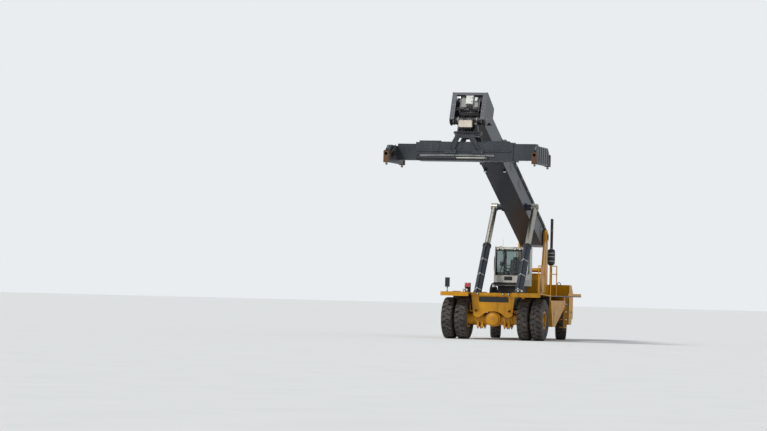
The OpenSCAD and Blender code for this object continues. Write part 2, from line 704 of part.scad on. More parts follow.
// Carriage: the slewing ring's lower half and the frame that rides on the girders
shoe_y = [300, 780];
flange_z = 480;
flange_h = 40;
flange_w = 30;
slide_gap = 0.5;
leg_x = girder_x + 10;
leg_t = 50;
module carriage() color(slate) at_land() {
    top = ring_z - 70;
    translate([0, 0, top]) cylinder(r = ring_r - 40, h = 70 - rest);
    span_box([-leg_x - leg_t, -340, top - 50], [leg_x + leg_t, 340, top]);
    for (side = [-1, 1]) translate([side * (leg_x + leg_t / 2), 0, 0]) {
        difference() {
            cross_plate([[-340, top], [340, top], [640, 560], [-640, 560]], -leg_t / 2, leg_t / 2);
            cross_plate([[-190, top - 130], [190, top - 130], [380, 559], [-380, 559]], -leg_t, leg_t);
        }
    }
    // shoes that hook round the girders' rails
    for (turn = [0, 180]) rotate([0, 0, turn]) both_sides() difference() {
        span_box([leg_x, shoe_y[0], 400], [leg_x + leg_t, shoe_y[1], 561]);
        span_box([leg_x - 1, shoe_y[0] - 1, flange_z - slide_gap],
            [girder_x + flange_w + pass, shoe_y[1] + 1, flange_z + flange_h + slide_gap]);
    }
}

// Girders: two hollow boxes side by side, one for each arm
girder_t = 20;
module girder(open_side) {
    lid = open_side > 0 ? [-girder_y + girder_t, girder_y + 1] : [-girder_y - 1, girder_y - girder_t];
    difference() {
        span_box([girder_x - girder_w, -girder_y, girder_lift], [girder_x, girder_y, girder_lift + girder_h]);
        span_box([girder_x - girder_w + girder_t, lid[0], girder_lift + girder_t],
            [girder_x - girder_t, lid[1], girder_lift + girder_h - girder_t]);
    }
    // slide pads at the mouth, under and over the arm
    for (z = [girder_lift + girder_t - 1, girder_lift + girder_h - girder_t - arm_gap + rest])
        span_box([girder_x - girder_w + 60, open_side * (girder_y - 130) - 60, z],
            [girder_x - 60, open_side * (girder_y - 130) + 60, z + arm_gap - rest + 1]);
    span_box([girder_x - 1, -girder_y + 60, flange_z], [girder_x + flange_w, girder_y - 60, flange_z + flange_h]);
}
module girders() color(slate) at_land() {
    girder(1);
    mirror([1, 0, 0]) girder(-1);
    for (y = [-1750, -900, -30, 840, 1690])
        span_box([-girder_x + girder_w - 1, y, 220], [girder_x - girder_w + 1, y + 60, 800]);
    // walkway on top
    span_box([-girder_x + 20, -1800, girder_lift + girder_h - 1], [girder_x - 20, 1800, girder_lift + girder_h + 30]);
}

// Arms: a hollow beam inside its girder, closed at its outer end
arm_back = 1750;
end_t = 166;
end_in = 24;
end_inset = 120;
end_top = 700;
end_wall = 16;
arm_wall = 18;
corner_top = 450;
eye_over = 12;
end_y = arm_reach - end_in;
end_profile = [[-corner_x, 20], [-corner_x, 440], [-760, end_top], [760, end_top], [corner_x, 440], [corner_x, 20]];
end_hollow = [[-corner_x + end_inset, 20 + end_wall], [-corner_x + end_inset, 420],
    [-750, end_top - end_wall], [750, end_top - end_wall], [corner_x - end_inset, 420],
    [corner_x - end_inset, 20 + end_wall]];
module arm() {
    w0 = girder_x - girder_w + girder_t + arm_gap;
    w1 = girder_x - girder_t - arm_gap;
    z0 = girder_lift + girder_t + arm_gap;
    z1 = girder_lift + girder_h - girder_t - arm_gap;
    difference() {
        span_box([w0, -arm_back, z0], [w1, end_y - end_t, z1]);
        span_box([w0 + arm_wall, -arm_back - 1, z0 + arm_wall], [w1 - arm_wall, end_y - end_t - arm_wall, z1 - arm_wall]);
    }
    // slide pads under and over the inner end
    for (z = [z0 - arm_gap + rest, z1 - 1])
        span_box([w0 + 40, -arm_back + 40, z], [w1 - 40, -arm_back + 240, z + arm_gap - rest + 1]);
}
module arm_left() color(slate) at_land() arm();
module arm_right() color(slate) at_land() rotate([0, 0, 180]) arm();

// End beams: hollow, with a corner box at each end for a twistlock and an eye
eye_z = 340;
lock_r = 32;
module end_beam() difference() {
    union() {
        difference() {
            side_plate(end_profile, end_y - end_t, end_y);
            side_plate(end_hollow, end_y - end_t + end_wall, end_y - end_wall);
        }
        for (x = [-corner_x, corner_x])
            span_box([x - corner_edge, corner_y - corner_edge, 0], [x + corner_edge, arm_reach, corner_top]);
    }
    for (x = [-corner_x, corner_x]) translate([x, corner_y, 0]) {
        translate([0, 0, -1]) cylinder(r = lock_r + pin_fit, h = 201);
        translate([0, 0, eye_z]) x_bar(eye_r, -end_inset - eye_over, end_inset + eye_over);
    }
}
module end_left() color(slate) at_land() end_beam();
module end_right() color(slate) at_land() rotate([0, 0, 180]) end_beam();

// Twistlocks: a shaft in each corner box with a turning head below it
module twistlock() {
    cylinder(r = lock_r, h = 190);
    translate([0, 0, -30]) cylinder(r = 30, h = 31);
    translate([0, 0, -55]) intersection() {
        translate([-27, -52, 0]) cube([54, 104, 28]);
        cylinder(r = 52, h = 28);
    }
    translate([0, 0, -95]) intersection() {
        translate([-27, -52, 0]) cube([54, 104, 41]);
        cylinder(r1 = 22, r2 = 52, h = 41);
    }
}
module lock_at(sx, sy) color(chrome) at_land() translate([sx * corner_x, sy * corner_y, 0]) twistlock();
module lock_front_left() lock_at(1, 1);
module lock_rear_left() lock_at(-1, 1);
module lock_front_right() lock_at(1, -1);
module lock_rear_right() lock_at(-1, -1);

// Half the width of a tyre at its rim
bead_half = tyre_w / 2 - 45;

// Tyres: a revolved carcass in which slanted grooves from both shoulders leave
// the lugs; the two rows are half a pitch apart
rib = 22;
groove_w = [52, 84];
groove_slant = 105;
groove_tilt = 9;
module grooves(side) {
    shoulder = tyre_w / 2 + 30;
    for (i = [0 : lug_count - 1])
        rotate([0, (i + side / 4) * 360 / lug_count, 0]) translate([0, side * rib, tyre_r - lug_depth])
            rotate([-side * groove_tilt, 0, 0]) linear_extrude(lug_depth * 4)
                polygon([[-groove_w[0] / 2, 0], [groove_w[0] / 2, 0],
                    [groove_slant + groove_w[1] / 2, side * shoulder], [groove_slant - groove_w[1] / 2, side * shoulder]]);
}
module tyre() {
    w = tyre_w / 2;
    bead = rim_r + rest;
    difference() {
        rotate([90, 0, 0]) rotate_extrude($fn = 144)
            polygon([[bead, -bead_half], [bead + 45, -bead_half], [bead + 130, -w], [tyre_r - 170, -w + 4],
                [tyre_r - 62, -w + 16], [tyre_r - 16, -w + 36], [tyre_r, -w + 78], [tyre_r, w - 78],
                [tyre_r - 16, w - 36], [tyre_r - 62, w - 16], [tyre_r - 170, w - 4], [bead + 130, w],
                [bead + 45, bead_half], [bead, bead_half]]);
        grooves(1);
        grooves(-1);
    }
}
module twin_tyres(side) color(black) translate([axle_x, side * twin_y, axle_z])
    for (y = [-1, 1]) translate([0, y * twin_pitch / 2, 0]) tyre();
module tyres_front_left() twin_tyres(1);
module tyres_front_right() twin_tyres(-1);

// Hubs: rims, discs and the barrel that turns on the spindle; +Y is outboard
module rim(half) {
    difference() {
        union() {
            y_bar(rim_r, -half, half);
            for (y = [-half, half - 14]) y_bar(rim_r + 40, y, y + 14);
        }
        y_bar(rim_r - 16, -half - 1, half + 1);
    }
}
flange_half = bead_half + rest + 14;
module twin_hub() {
    for (y = [-1, 1]) translate([0, y * twin_pitch / 2, 0]) rim(flange_half);
    difference() {
        union() {
            y_bar(rim_r - 15, twin_pitch / 2 - 60, twin_pitch / 2 - 30);
            y_bar(rim_r - 15, -110, -80);
            y_bar(190, -240, 330);
            translate([0, 329, 0]) rotate([-90, 0, 0]) cylinder(r1 = 186, r2 = 160, h = 50);
            y_bar(155, 378, 400);
            y_bar(70, 399, 418);
            // webs of the planetary cover
            for (a = [0 : 45 : 315]) rotate([0, a, 0]) translate([120, 0, 0]) y_bar(22, 340, 408);
        }
        y_bar(spindle_r + pin_fit, -241, 240);
    }
    // spacer band between the two rims
    difference() {
        y_bar(rim_r - 4, -twin_pitch / 2 + flange_half - 1, twin_pitch / 2 - flange_half + 1);
        y_bar(rim_r - 20, -twin_pitch / 2, twin_pitch / 2);
    }
}
module hub_front_left() color(amber) translate([axle_x, twin_y, axle_z]) twin_hub();
module hub_front_right() color(amber) mirror([0, 1, 0]) hub_front_left();

// Steered wheels: all of a side turns about its kingpin
module at_kingpin(side) {
    translate([axle_x - wheelbase, side * kingpin_y, axle_z]) rotate([0, 0, steer_angle])
        mirror([0, side < 0 ? 1 : 0, 0]) children();
}
wheel_out = steer_y - kingpin_y;
module knuckle() {
    cylinder(r = kingpin_r, h = fork_h + 2 * fork_t + 20, center = true);
    span_box([-90, -80, -fork_h / 2 + pass], [90, 110, fork_h / 2 - pass]);
    y_bar(115, 109, wheel_out - 95);
    y_bar(stub_r, wheel_out - 96, wheel_out + 120);
    span_box([-200, -60, -30], [-89, 0, 30]);
}
module knuckle_left() color(amber) at_kingpin(1) knuckle();
module knuckle_right() color(amber) at_kingpin(-1) knuckle();
module tyre_rear_left() color(black) at_kingpin(1) translate([0, wheel_out, 0]) tyre();
module tyre_rear_right() color(black) at_kingpin(-1) translate([0, wheel_out, 0]) tyre();
module rear_hub() {
    rim(flange_half);
    difference() {
        union() {
            y_bar(rim_r - 15, 40, 66);
            y_bar(125, -90, 130);
            translate([0, 129, 0]) rotate([-90, 0, 0]) cylinder(r1 = 122, r2 = 95, h = 42);
        }
        y_bar(stub_r + pin_fit, -91, 125);
    }
}
module hub_rear_left() color(amber) at_kingpin(1) translate([0, wheel_out, 0]) rear_hub();
module hub_rear_right() color(amber) at_kingpin(-1) translate([0, wheel_out, 0]) rear_hub();

frame();
drive_axle();
steer_axle();
fenders();
decks();
fuel_tank();
oil_tank();
handrails();
counterweight();
engine();
hood();
exhaust();
cab();
cab_door();
cab_glass();
door_glass();
seat();
console();
lamps();
mirrors();
lift_tubes();
lift_rods();
boom_outer();
boom_inner();
boom_nose();
nose_gear();
yoke();
carriage();
girders();
arm_left();
arm_right();
end_left();
end_right();
lock_front_left();
lock_rear_left();
lock_front_right();
lock_rear_right();
tyres_front_left();
tyres_front_right();
hub_front_left();
hub_front_right();
knuckle_left();
knuckle_right();
tyre_rear_left();
tyre_rear_right();
hub_rear_left();
hub_rear_right();
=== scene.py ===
# %% [markdown]
# # A reach stacker, dressed for its picture
# The steel of the machine comes ready from the CAD model: every beam, wheel and
# cylinder is in place, in metres. This lesson gives it paint, rubber, glass and
# the small parts that a maker bolts on last: lenses, bolts, hoses and treads.
# The first step loads the frame.
# %% Load the machine
import json
import math
import bpy
import bmesh
from mathutils import Matrix, Vector


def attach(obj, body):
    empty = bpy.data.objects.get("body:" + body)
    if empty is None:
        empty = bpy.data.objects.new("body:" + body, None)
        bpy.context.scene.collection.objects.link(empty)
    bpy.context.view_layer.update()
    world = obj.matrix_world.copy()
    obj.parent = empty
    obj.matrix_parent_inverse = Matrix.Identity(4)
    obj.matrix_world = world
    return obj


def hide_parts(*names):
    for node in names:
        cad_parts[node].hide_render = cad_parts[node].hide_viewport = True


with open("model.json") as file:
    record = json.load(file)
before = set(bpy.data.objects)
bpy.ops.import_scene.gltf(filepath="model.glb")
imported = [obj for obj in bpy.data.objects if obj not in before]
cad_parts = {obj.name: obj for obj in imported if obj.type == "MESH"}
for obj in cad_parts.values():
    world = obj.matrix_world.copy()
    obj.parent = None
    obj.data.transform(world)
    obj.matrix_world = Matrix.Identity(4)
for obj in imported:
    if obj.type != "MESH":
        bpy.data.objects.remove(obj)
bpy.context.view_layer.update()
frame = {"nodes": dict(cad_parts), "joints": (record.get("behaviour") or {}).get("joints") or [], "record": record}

nodes = frame["nodes"]


# %% [markdown]
# Colours are written the way a paint card or a web page gives them, as sRGB hex
# values. Blender mixes light in linear values, so one function does the change.
# Another small function adds a shader node with its settings and its links, so
# that each finish below reads as a short list of what feeds what.
# %% Colour and node helpers
def linear(code):
    parts = [int(code[i:i + 2], 16) / 255 for i in (1, 3, 5)]
    return tuple(c / 12.92 if c <= .04045 else ((c + .055) / 1.055) ** 2.4 for c in parts) + (1,)


def feed(node, feeds):
    """Fills sockets: a node or socket is linked (a node by its Fac or else its first output), the rest is set."""
    for key, value in feeds.items():
        if isinstance(value, bpy.types.Node):
            value = value.outputs.get("Fac") or value.outputs[0]
        if isinstance(value, bpy.types.NodeSocket):
            node.id_data.links.new(value, node.inputs[key])
        else:
            node.inputs[key].default_value = linear(value) if isinstance(value, str) else value


def add(tree, kind, feeds=None, **settings):
    made = tree.nodes.new("ShaderNode" + kind)
    for key, value in settings.items():
        setattr(made, key, value)
    feed(made, feeds or {})
    return made


def finish(name, **constants):
    made = bpy.data.materials.new(name)
    made.use_nodes = True
    tree = made.node_tree
    shader = tree.nodes["Principled BSDF"]
    feed(shader, {key.replace("_", " "): value for key, value in constants.items()})
    place = add(tree, "TexCoord").outputs["Object"]
    return made, tree, shader, place


print("amber in linear light:", [round(c, 3) for c in linear("#c4820f")])


# %% [markdown]
# ## Machine paint
# Heavy yard machines are sprayed with a two-part enamel: a smooth, half-gloss
# coat over steel. It gives the eye one strong colour, broad soft reflections,
# grey dust that lies low down, and dark runs below edges where rain has washed
# it. The dust cloud is about 0.8 m across, the runs are 0.15 m wide and ten
# times as long, and the chips are 20 to 40 mm, drawn a little larger than life
# because the machine is seen from far away. Orange peel of 3 mm would never
# show, so the bump uses 12 mm.
# %% Machine paint
def machine_paint(name, colour, shade, dust="#a5957a", dusty=.55, chip="#4a3a2c", chipped=.5, rough=.42, coat=.1):
    made, tree, shader, place = finish(name, IOR=1.5, Coat_Weight=coat, Coat_Roughness=.25, Specular_IOR_Level=.3)
    cloud = add(tree, "TexNoise", {"Vector": place, "Scale": 1.25, "Detail": 6.0, "Roughness": .62})
    fine = add(tree, "TexNoise", {"Vector": place, "Scale": 14.0, "Detail": 5.0})
    long = add(tree, "Mapping", {"Vector": place, "Scale": (6.5, 6.5, .65)})
    runs = add(tree, "TexNoise", {"Vector": long, "Scale": 1.0, "Detail": 5.0, "Roughness": .6})
    tone = add(tree, "MapRange", {"Value": cloud, "From Min": .35, "From Max": .68})
    base = add(tree, "MixRGB", {"Fac": tone, "Color1": shade, "Color2": colour})
    run_mask = add(tree, "MapRange", {"Value": runs, "From Min": .52, "From Max": .74, "To Max": .55})
    streaked = add(tree, "MixRGB", {"Fac": run_mask, "Color1": base, "Color2": chip})
    height = add(tree, "SeparateXYZ", {"Vector": place})
    low = add(tree, "MapRange", {"Value": height.outputs["Z"], "From Min": 2.3, "From Max": .3})
    low_dust = add(tree, "Math", {0: low, 1: fine}, operation="MULTIPLY")
    dust_mask = add(tree, "Math", {0: low_dust, 1: dusty}, operation="MULTIPLY")
    dusted = add(tree, "MixRGB", {"Fac": dust_mask, "Color1": streaked, "Color2": dust})
    spots = add(tree, "TexVoronoi", {"Vector": place, "Scale": 9.0, "Randomness": 1.0})
    jitter = add(tree, "Math", {0: spots.outputs["Distance"], 1: fine}, operation="ADD")
    chip_mask = add(tree, "MapRange", {"Value": jitter, "From Min": .52, "From Max": .47, "To Max": chipped})
    worn = add(tree, "MixRGB", {"Fac": chip_mask, "Color1": dusted, "Color2": chip})
    feed(shader, {"Base Color": worn})
    matt = add(tree, "MapRange", {"Value": dust_mask, "From Max": .5, "To Min": rough, "To Max": rough + .35})
    feed(shader, {"Roughness": matt})
    peel = add(tree, "TexNoise", {"Vector": place, "Scale": 80.0, "Detail": 2.0})
    bump = add(tree, "Bump", {"Height": peel, "Strength": .12, "Distance": .004})
    feed(shader, {"Normal": bump})
    return made


amber_enamel = machine_paint("amber_enamel", "#d99b00", "#c48400", dusty=.14, coat=.04)
slate_enamel = machine_paint("slate_enamel", "#414549", "#34383d", dusty=.2, chip="#2a2725", chipped=.6)
# The navy is dark navy paint set darker still, to the look of the boom and lift tubes in shade: partly painted
# shade.
navy_enamel_with_painted_shade = machine_paint("navy_enamel_with_painted_shade", "#282e39", "#20252f", dusty=.12, chip="#22211f", chipped=.4)
dark_enamel = machine_paint("dark_enamel", "#25272b", "#1c1d21", dusty=.5, chip="#3a342d")
pale_enamel = machine_paint("pale_enamel", "#dcdcd6", "#c9c8c0", dusty=.3, chip="#7d7468", chipped=.3)
cream_enamel = machine_paint("cream_enamel", "#e2d6c6", "#cdbfac", dusty=.3, chip="#8a7b60", chipped=.4)
rusted_steel = machine_paint("rusted_steel", "#6b4a34", "#4b3729", dusty=.3, chip="#2f221a", chipped=.9, rough=.7)
print("paints:", [m.name for m in bpy.data.materials])


# %% [markdown]
# ## Tyre rubber
# Carbon-black rubber, moulded, then ground grey-brown by the yard. The eye sees
# a nearly black flank with a faint dusty bloom and lighter tread tops. The bloom
# follows the distance from each wheel's centre only through noise, so that the
# same rubber serves all six tyres. Fine scuffs are 8 mm apart.
# %% Tyre rubber and black plastic
def dull_black(name, colour, bloom, bloom_share, scuff_mm, rough, strength):
    made, tree, shader, place = finish(name, IOR=1.48, Roughness=rough)
    haze = add(tree, "TexNoise", {"Vector": place, "Scale": 2.6, "Detail": 7.0, "Roughness": .7})
    scuff = add(tree, "TexNoise", {"Vector": place, "Scale": 1000 / scuff_mm / 8, "Detail": 4.0})
    both = add(tree, "Math", {0: haze, 1: scuff}, operation="MULTIPLY")
    mask = add(tree, "MapRange", {"Value": both, "From Min": .16, "From Max": .42, "To Max": bloom_share})
    tint = add(tree, "MixRGB", {"Fac": mask, "Color1": colour, "Color2": bloom})
    feed(shader, {"Base Color": tint})
    bump = add(tree, "Bump", {"Height": scuff, "Strength": strength, "Distance": .006})
    feed(shader, {"Normal": bump})
    return made


tyre_rubber = dull_black("tyre_rubber", "#232222", "#6a6058", .85, 8, .82, .35)
hose_rubber = dull_black("hose_rubber", "#141415", "#3c3834", .4, 20, .55, .15)
black_plastic = dull_black("moulded_black_plastic", "#131416", "#33312e", .4, 12, .5, .2)
window_rubber = dull_black("window_rubber", "#101011", "#2c2a28", .3, 10, .7, .15)
seat_cloth = dull_black("woven_seat_cloth", "#1d1e22", "#3a3b40", .5, 5, .9, .5)
print("rubber and plastic ready")


# %% [markdown]
# ## Bare metal
# The rods are hard chrome on ground steel: bright, with faint rings from the
# wiper seal and a film of oil and dust. The twistlocks, bolts and treads are
# plain steel, rubbed by use and darkened by rust between. A metal keeps the
# default index of refraction. Ring marks on the rods are 25 mm apart.
# %% Bare metal
def bare_metal(name, colour, stain, rough, stained, ring_mm):
    made, tree, shader, place = finish(name, Metallic=1.0)
    stretch = add(tree, "Mapping", {"Vector": place, "Scale": (1, 1, 1000 / ring_mm / 10)})
    rings = add(tree, "TexNoise", {"Vector": stretch, "Scale": 6.0, "Detail": 5.0})
    film = add(tree, "TexNoise", {"Vector": place, "Scale": 3.5, "Detail": 6.0, "Roughness": .65})
    mask = add(tree, "MapRange", {"Value": film, "From Min": .45, "From Max": .7, "To Max": stained})
    tint = add(tree, "MixRGB", {"Fac": mask, "Color1": colour, "Color2": stain})
    feed(shader, {"Base Color": tint})
    gloss = add(tree, "MapRange", {"Value": rings, "From Min": .3, "From Max": .7,
                                   "To Min": rough, "To Max": rough + .22})
    feed(shader, {"Roughness": gloss})
    bump = add(tree, "Bump", {"Height": rings, "Strength": .04, "Distance": .002})
    feed(shader, {"Normal": bump})
    return made


hard_chrome = bare_metal("hard_chrome", "#98958d", "#77705f", .24, .4, 25)
worn_steel = bare_metal("worn_steel", "#8d8a85", "#5a4433", .38, .8, 40)
galvanised = bare_metal("galvanised_steel", "#a3a5a4", "#7b7a74", .42, .5, 60)
print("metals ready")


# %% [markdown]
# ## Glass, lenses and lamps
# The cab has flat safety glass: nearly clear, with a cool green cast. Lamp lenses
# are moulded polycarbonate over a bright reflector, so a glossy, slightly wavy
# pale surface with a faint painted glow, for the light the reflector throws back,
# stands for both. Tail and beacon lenses are the same, dyed.
# %% Glass and lenses
safety_glass, tree, shader, place = finish("safety_glass", IOR=1.5, Roughness=.02, Transmission_Weight=1.0,
                                           Specular_IOR_Level=.6)
film = add(tree, "TexNoise", {"Vector": place, "Scale": 5.0, "Detail": 4.0})
tint = add(tree, "MixRGB", {"Fac": film, "Color1": "#bcc8c5", "Color2": "#aab7b4"})
feed(shader, {"Base Color": tint})


def lens(name, colour, deep, painted_reflector_glow=0.0):
    # The emission is painted light: a faint glow for light thrown back by the reflector, whether the lamp is lit or
    # not.
    made, tree, shader, place = finish(name, IOR=1.58, Roughness=.12, Coat_Weight=.6, Coat_Roughness=.05,
                                       Emission_Color=colour, Emission_Strength=painted_reflector_glow)
    flutes = add(tree, "TexWave", {"Vector": place, "Scale": 28.0, "Distortion": .6}, bands_direction="Y")
    tint = add(tree, "MixRGB", {"Fac": flutes, "Color1": deep, "Color2": colour})
    feed(shader, {"Base Color": tint})
    bump = add(tree, "Bump", {"Height": flutes, "Strength": .3, "Distance": .003})
    feed(shader, {"Normal": bump})
    return made


# The last number is each lens's painted glow.
clear_lens = lens("clear_polycarbonate_lens", "#efe9d6", "#b9b4a4", .05)
red_lens = lens("red_polycarbonate_lens", "#c2301f", "#8c1c12", .08)
amber_lens = lens("amber_polycarbonate_lens", "#e2951d", "#b56c0c", .05)
print("glass and lenses ready")


# %% [markdown]
# ## Who wears what
# Each CAD node gets the finish that its real piece has. A table is enough: the
# name of the finish, then the nodes that wear it. Flat shading would show every
# facet of a round tube, so edges under 40 degrees are smoothed.
# %% Dress the nodes
wears = {
    amber_enamel: "frame drive_axle steer_axle fenders fuel_tank oil_tank handrails counterweight hood "
                  "hub_front_left hub_front_right knuckle_left knuckle_right hub_rear_left hub_rear_right",
    slate_enamel: "carriage girders arm_left arm_right end_left end_right",
    navy_enamel_with_painted_shade: "boom_outer boom_inner boom_nose lift_tubes",
    dark_enamel: "decks engine exhaust yoke",
    pale_enamel: "cab cab_door nose_gear",
    safety_glass: "cab_glass door_glass",
    tyre_rubber: "tyres_front_left tyres_front_right tyre_rear_left tyre_rear_right",
    hard_chrome: "lift_rods",
    worn_steel: "lock_front_left lock_rear_left lock_front_right lock_rear_right",
    black_plastic: "console lamps mirrors",
    seat_cloth: "seat",
}


def soften(obj, angle=40):
    for face in obj.data.polygons:
        face.use_smooth = True
    obj.data.set_sharp_from_angle(angle=math.radians(angle))


finish_of = {row["node"]: row["material_slot"] for row in frame["record"]["subparts"]}
slots, dressed = {}, 0
for material, names in wears.items():
    for name in names.split():
        obj = nodes[name]
        obj.data.materials.clear()
        obj.data.materials.append(material)
        soften(obj)
        slots[material] = finish_of[name]
        dressed += 1
slots |= {cream_enamel: "pale_paint", rusted_steel: "steel", hose_rubber: "black_plastic",
     window_rubber: "black_plastic",
          galvanised: "steel", clear_lens: "clear_glass", red_lens: "clear_glass", amber_lens: "clear_glass",
          worn_steel: "steel", black_plastic: "black_plastic"}
print(dressed, "of", len(nodes), "nodes dressed in", len(slots), "finishes")


# %% [markdown]
# ## Where things are
# The joints of the machine name the places that matter: the drive axle, the boom
# pivot, the nose pin. From them come a few local frames, so that a hose on the
# boom can be written in metres along the boom, and a bolt on the cab in metres
# from the cab's front.
# %% Local frames
joints = {j["name"]: j for j in frame["joints"]}
at = {name: Vector(j["pos_m"]) for name, j in joints.items() if "pos_m" in j}
axle_x = at["front_left_spin"].x
axle_z, ram_y, foot_z, spreader_drop = .835, .85, 1.33, 1.7
deck_top, fender_top, pivot_x, pivot_z = 1.83, 1.9003, -6.6, 4.3
both = (-1, 1)
reach = Vector(joints["boom_extend"]["axis"]) * -1
rise = math.atan2(reach.z, reach.x)
ram_axis = Vector(joints["rod_slide"]["axis"])
lean = math.atan2(-ram_axis.x, ram_axis.z)
pin = at["yoke_swing"]
pin_s = (pin - at["boom_lift"]).dot(reach)
truck = Matrix.Translation((axle_x, 0, 0))
cab = Matrix.Translation((axle_x - 2.1, 0, 2.2))
boom = Matrix.Translation(at["boom_lift"]) @ Matrix.Rotation(-rise, 4, "Y")
pin_drop = (pin - at["boom_lift"]).dot(boom.to_3x3() @ Vector((0, 0, 1)))
nose = boom @ Matrix.Translation((pin_s, 0, pin_drop))
hook = Matrix.Translation(pin)
landing = Matrix.Translation((pin.x, 0, pin.z - spreader_drop))


def ram(side):
    return Matrix.Translation((axle_x, side * ram_y, at["tube_swing"].z)) @ Matrix.Rotation(-lean, 4, "Y")


print("axle x %.3f, boom at %.1f degrees, nose pin %.2f m along it" % (axle_x, math.degrees(rise), pin_s))


# %% [markdown]
# ## Tools for small parts
# Bolted-on parts are made of a few kinds of stock: round bar, flat slab, turned
# rings. Each helper adds one such form to a mesh, and `part` builds a piece from
# a table of them, rounds its edges with a small bevel, and lets it ride on the
# body that carries it. Hoses are curves with a round section.
# %% Shape helpers
def bar(mesh, start, end, radius, sides=16, tip=None):
    start, end = Vector(start), Vector(end)
    turn = (end - start).to_track_quat("Z", "Y").to_matrix().to_4x4()
    bmesh.ops.create_cone(mesh, cap_ends=True, segments=sides, radius1=radius,
                          radius2=radius if tip is None else tip, depth=(end - start).length,
                          matrix=Matrix.Translation((start + end) / 2) @ turn)


def block(mesh, low, high):
    low, high = Vector(low), Vector(high)
    size = high - low
    bmesh.ops.create_cube(mesh, size=1, matrix=Matrix.Translation((low + high) / 2) @ Matrix.Diagonal((*size, 1)))


def slab(mesh, outline, axis, low, high):
    def corner(a, b, c):
        return {"x": (c, a, b), "y": (a, c, b), "z": (a, b, c)}[axis]
    rows = [[mesh.verts.new(corner(a, b, c)) for a, b in outline] for c in (low, high)]
    count = len(outline)
    faces = [rows[0], rows[1][::-1]]
    faces += [[rows[0][i], rows[1][i], rows[1][(i + 1) % count], rows[0][(i + 1) % count]] for i in range(count)]
    made = [mesh.faces.new(f) for f in faces]
    bmesh.ops.recalc_face_normals(mesh, faces=made)


def turned(mesh, start, end, profile, sides=32):
    """A closed turned form: profile gives (radius, share of the way from start to end)."""
    start, end = Vector(start), Vector(end)
    turn = (end - start).to_track_quat("Z", "Y").to_matrix()
    rows = []
    for radius, share in profile:
        centre = start.lerp(end, share)
        rows.append([mesh.verts.new(centre + turn @ Vector((radius * math.cos(t), radius * math.sin(t), 0)))
                     for t in (2 * math.pi * k / sides for k in range(sides))])
    made = []
    for a, b in zip(rows, rows[1:] + rows[:1]):
        made += [mesh.faces.new((a[k], a[(k + 1) % sides], b[(k + 1) % sides], b[k])) for k in range(sides)]
    bmesh.ops.recalc_face_normals(mesh, faces=made)


def hoop(mesh, centre, axis, radius, wire, sides=40, section=10):
    centre, axis = Vector(centre), Vector(axis).normalized()
    profile = [(radius + wire * math.cos(t), .5 + math.sin(t) / 2)
               for t in (2 * math.pi * k / section for k in range(section))]
    turned(mesh, centre - axis * wire, centre + axis * wire, profile, sides)


def bolts(mesh, centre, axis, circle, count, radius, height, phase=0.0):
    centre, axis = Vector(centre), Vector(axis).normalized()
    turn = axis.to_track_quat("Z", "Y").to_matrix()
    for k in range(count):
        t = 2 * math.pi * (k + phase) / count
        foot = centre + turn @ Vector((circle * math.cos(t), circle * math.sin(t), 0))
        bar(mesh, foot, foot + axis * height, radius, 6)


def ring(inner, outer):
    return [(inner, 0), (outer, 0), (outer, 1), (inner, 1)]


def solid(*steps):
    return [(.001, 0), *steps, (.001, 1)]


def settle(name, data, body, material):
    """Puts finished mesh or curve data in the scene, on the body that carries it."""
    obj = bpy.data.objects.new(name, data)
    bpy.context.scene.collection.objects.link(obj)
    data.materials.append(material)
    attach(obj, body)
    return obj


def to_data(name, mesh, place=Matrix()):
    mesh.transform(place)
    data = bpy.data.meshes.new(name)
    mesh.to_mesh(data)
    mesh.free()
    return data


def part(name, body, material, rows, place=truck, edge=.004):
    mesh = bmesh.new()
    for shape, *sizes in rows:
        shape(mesh, *sizes)
    obj = settle(name, to_data(name, mesh, place), body, material)
    soften(obj, 35)
    if edge:
        round_off = obj.modifiers.new("rounded edges", "BEVEL")
        round_off.width = edge
        round_off.segments = 2
        round_off.limit_method = "ANGLE"
    return obj


def on(body, place=truck):
    """A short form of part for the pieces of one body, in metres of one local frame."""
    return lambda name, material, rows, edge=.004: part(name, body, material, rows, place, edge)


def round_curve(name, radius):
    data = bpy.data.curves.new(name, "CURVE")
    data.dimensions = "3D"
    data.bevel_depth = radius
    data.bevel_resolution = 3
    data.use_fill_caps = True
    return data


def pipes(name, body, material, lines, radius, place=truck):
    data = round_curve(name, radius)
    data.resolution_u = 6
    for line in lines:
        spline = data.splines.new("NURBS")
        spline.points.add(len(line) - 1)
        for point, spot in zip(spline.points, line):
            point.co = (*(place @ Vector(spot)), 1)
        spline.use_endpoint_u = True
        spline.order_u = 4
    return settle(name, data, body, material)


on_truck, on_cab, on_door = on("chassis"), on("chassis", cab), on("door", cab)
print("shape helpers ready")


# %% [markdown]
# ## Camera, floor and light
# The photograph was taken from far away with a long lens, from 1.66 m above the
# ground, a little to the machine's front left, and the camera was tilted by
# 1.4 degrees. Those values came from fitting known points of the machine to the
# picture. The light is a broad soft sun from the camera's left and a pale sky.
# %% Camera
image_w = 767
focal_px = 3000.0
swing = math.radians(15.736)
distance, aside, eye = 120.92, 4.595, 1.664
spot = Vector((axle_x + distance * math.cos(swing) + aside * math.sin(swing),
               distance * math.sin(swing) - aside * math.cos(swing), eye))
horizon_px, roll = 80.0, 1.439
tilt_up = math.atan(horizon_px / focal_px)
ahead = Vector((-math.cos(swing) * math.cos(tilt_up), -math.sin(swing) * math.cos(tilt_up), math.sin(tilt_up)))
camera_data = bpy.data.cameras.new("camera")
camera_data.sensor_width = sensor_mm = 36.0
camera_data.lens = focal_px * sensor_mm / image_w
camera_data.clip_end = 2000
camera = bpy.data.objects.new("camera", camera_data)
bpy.context.scene.collection.objects.link(camera)
look = ahead.to_track_quat("-Z", "Y").to_matrix().to_4x4()
camera.matrix_world = Matrix.Translation(spot) @ look @ Matrix.Rotation(math.radians(roll), 4, "Z")
bpy.context.scene.camera = camera
print("lens %.1f mm, eye at %.1f m" % (camera_data.lens, spot.length))

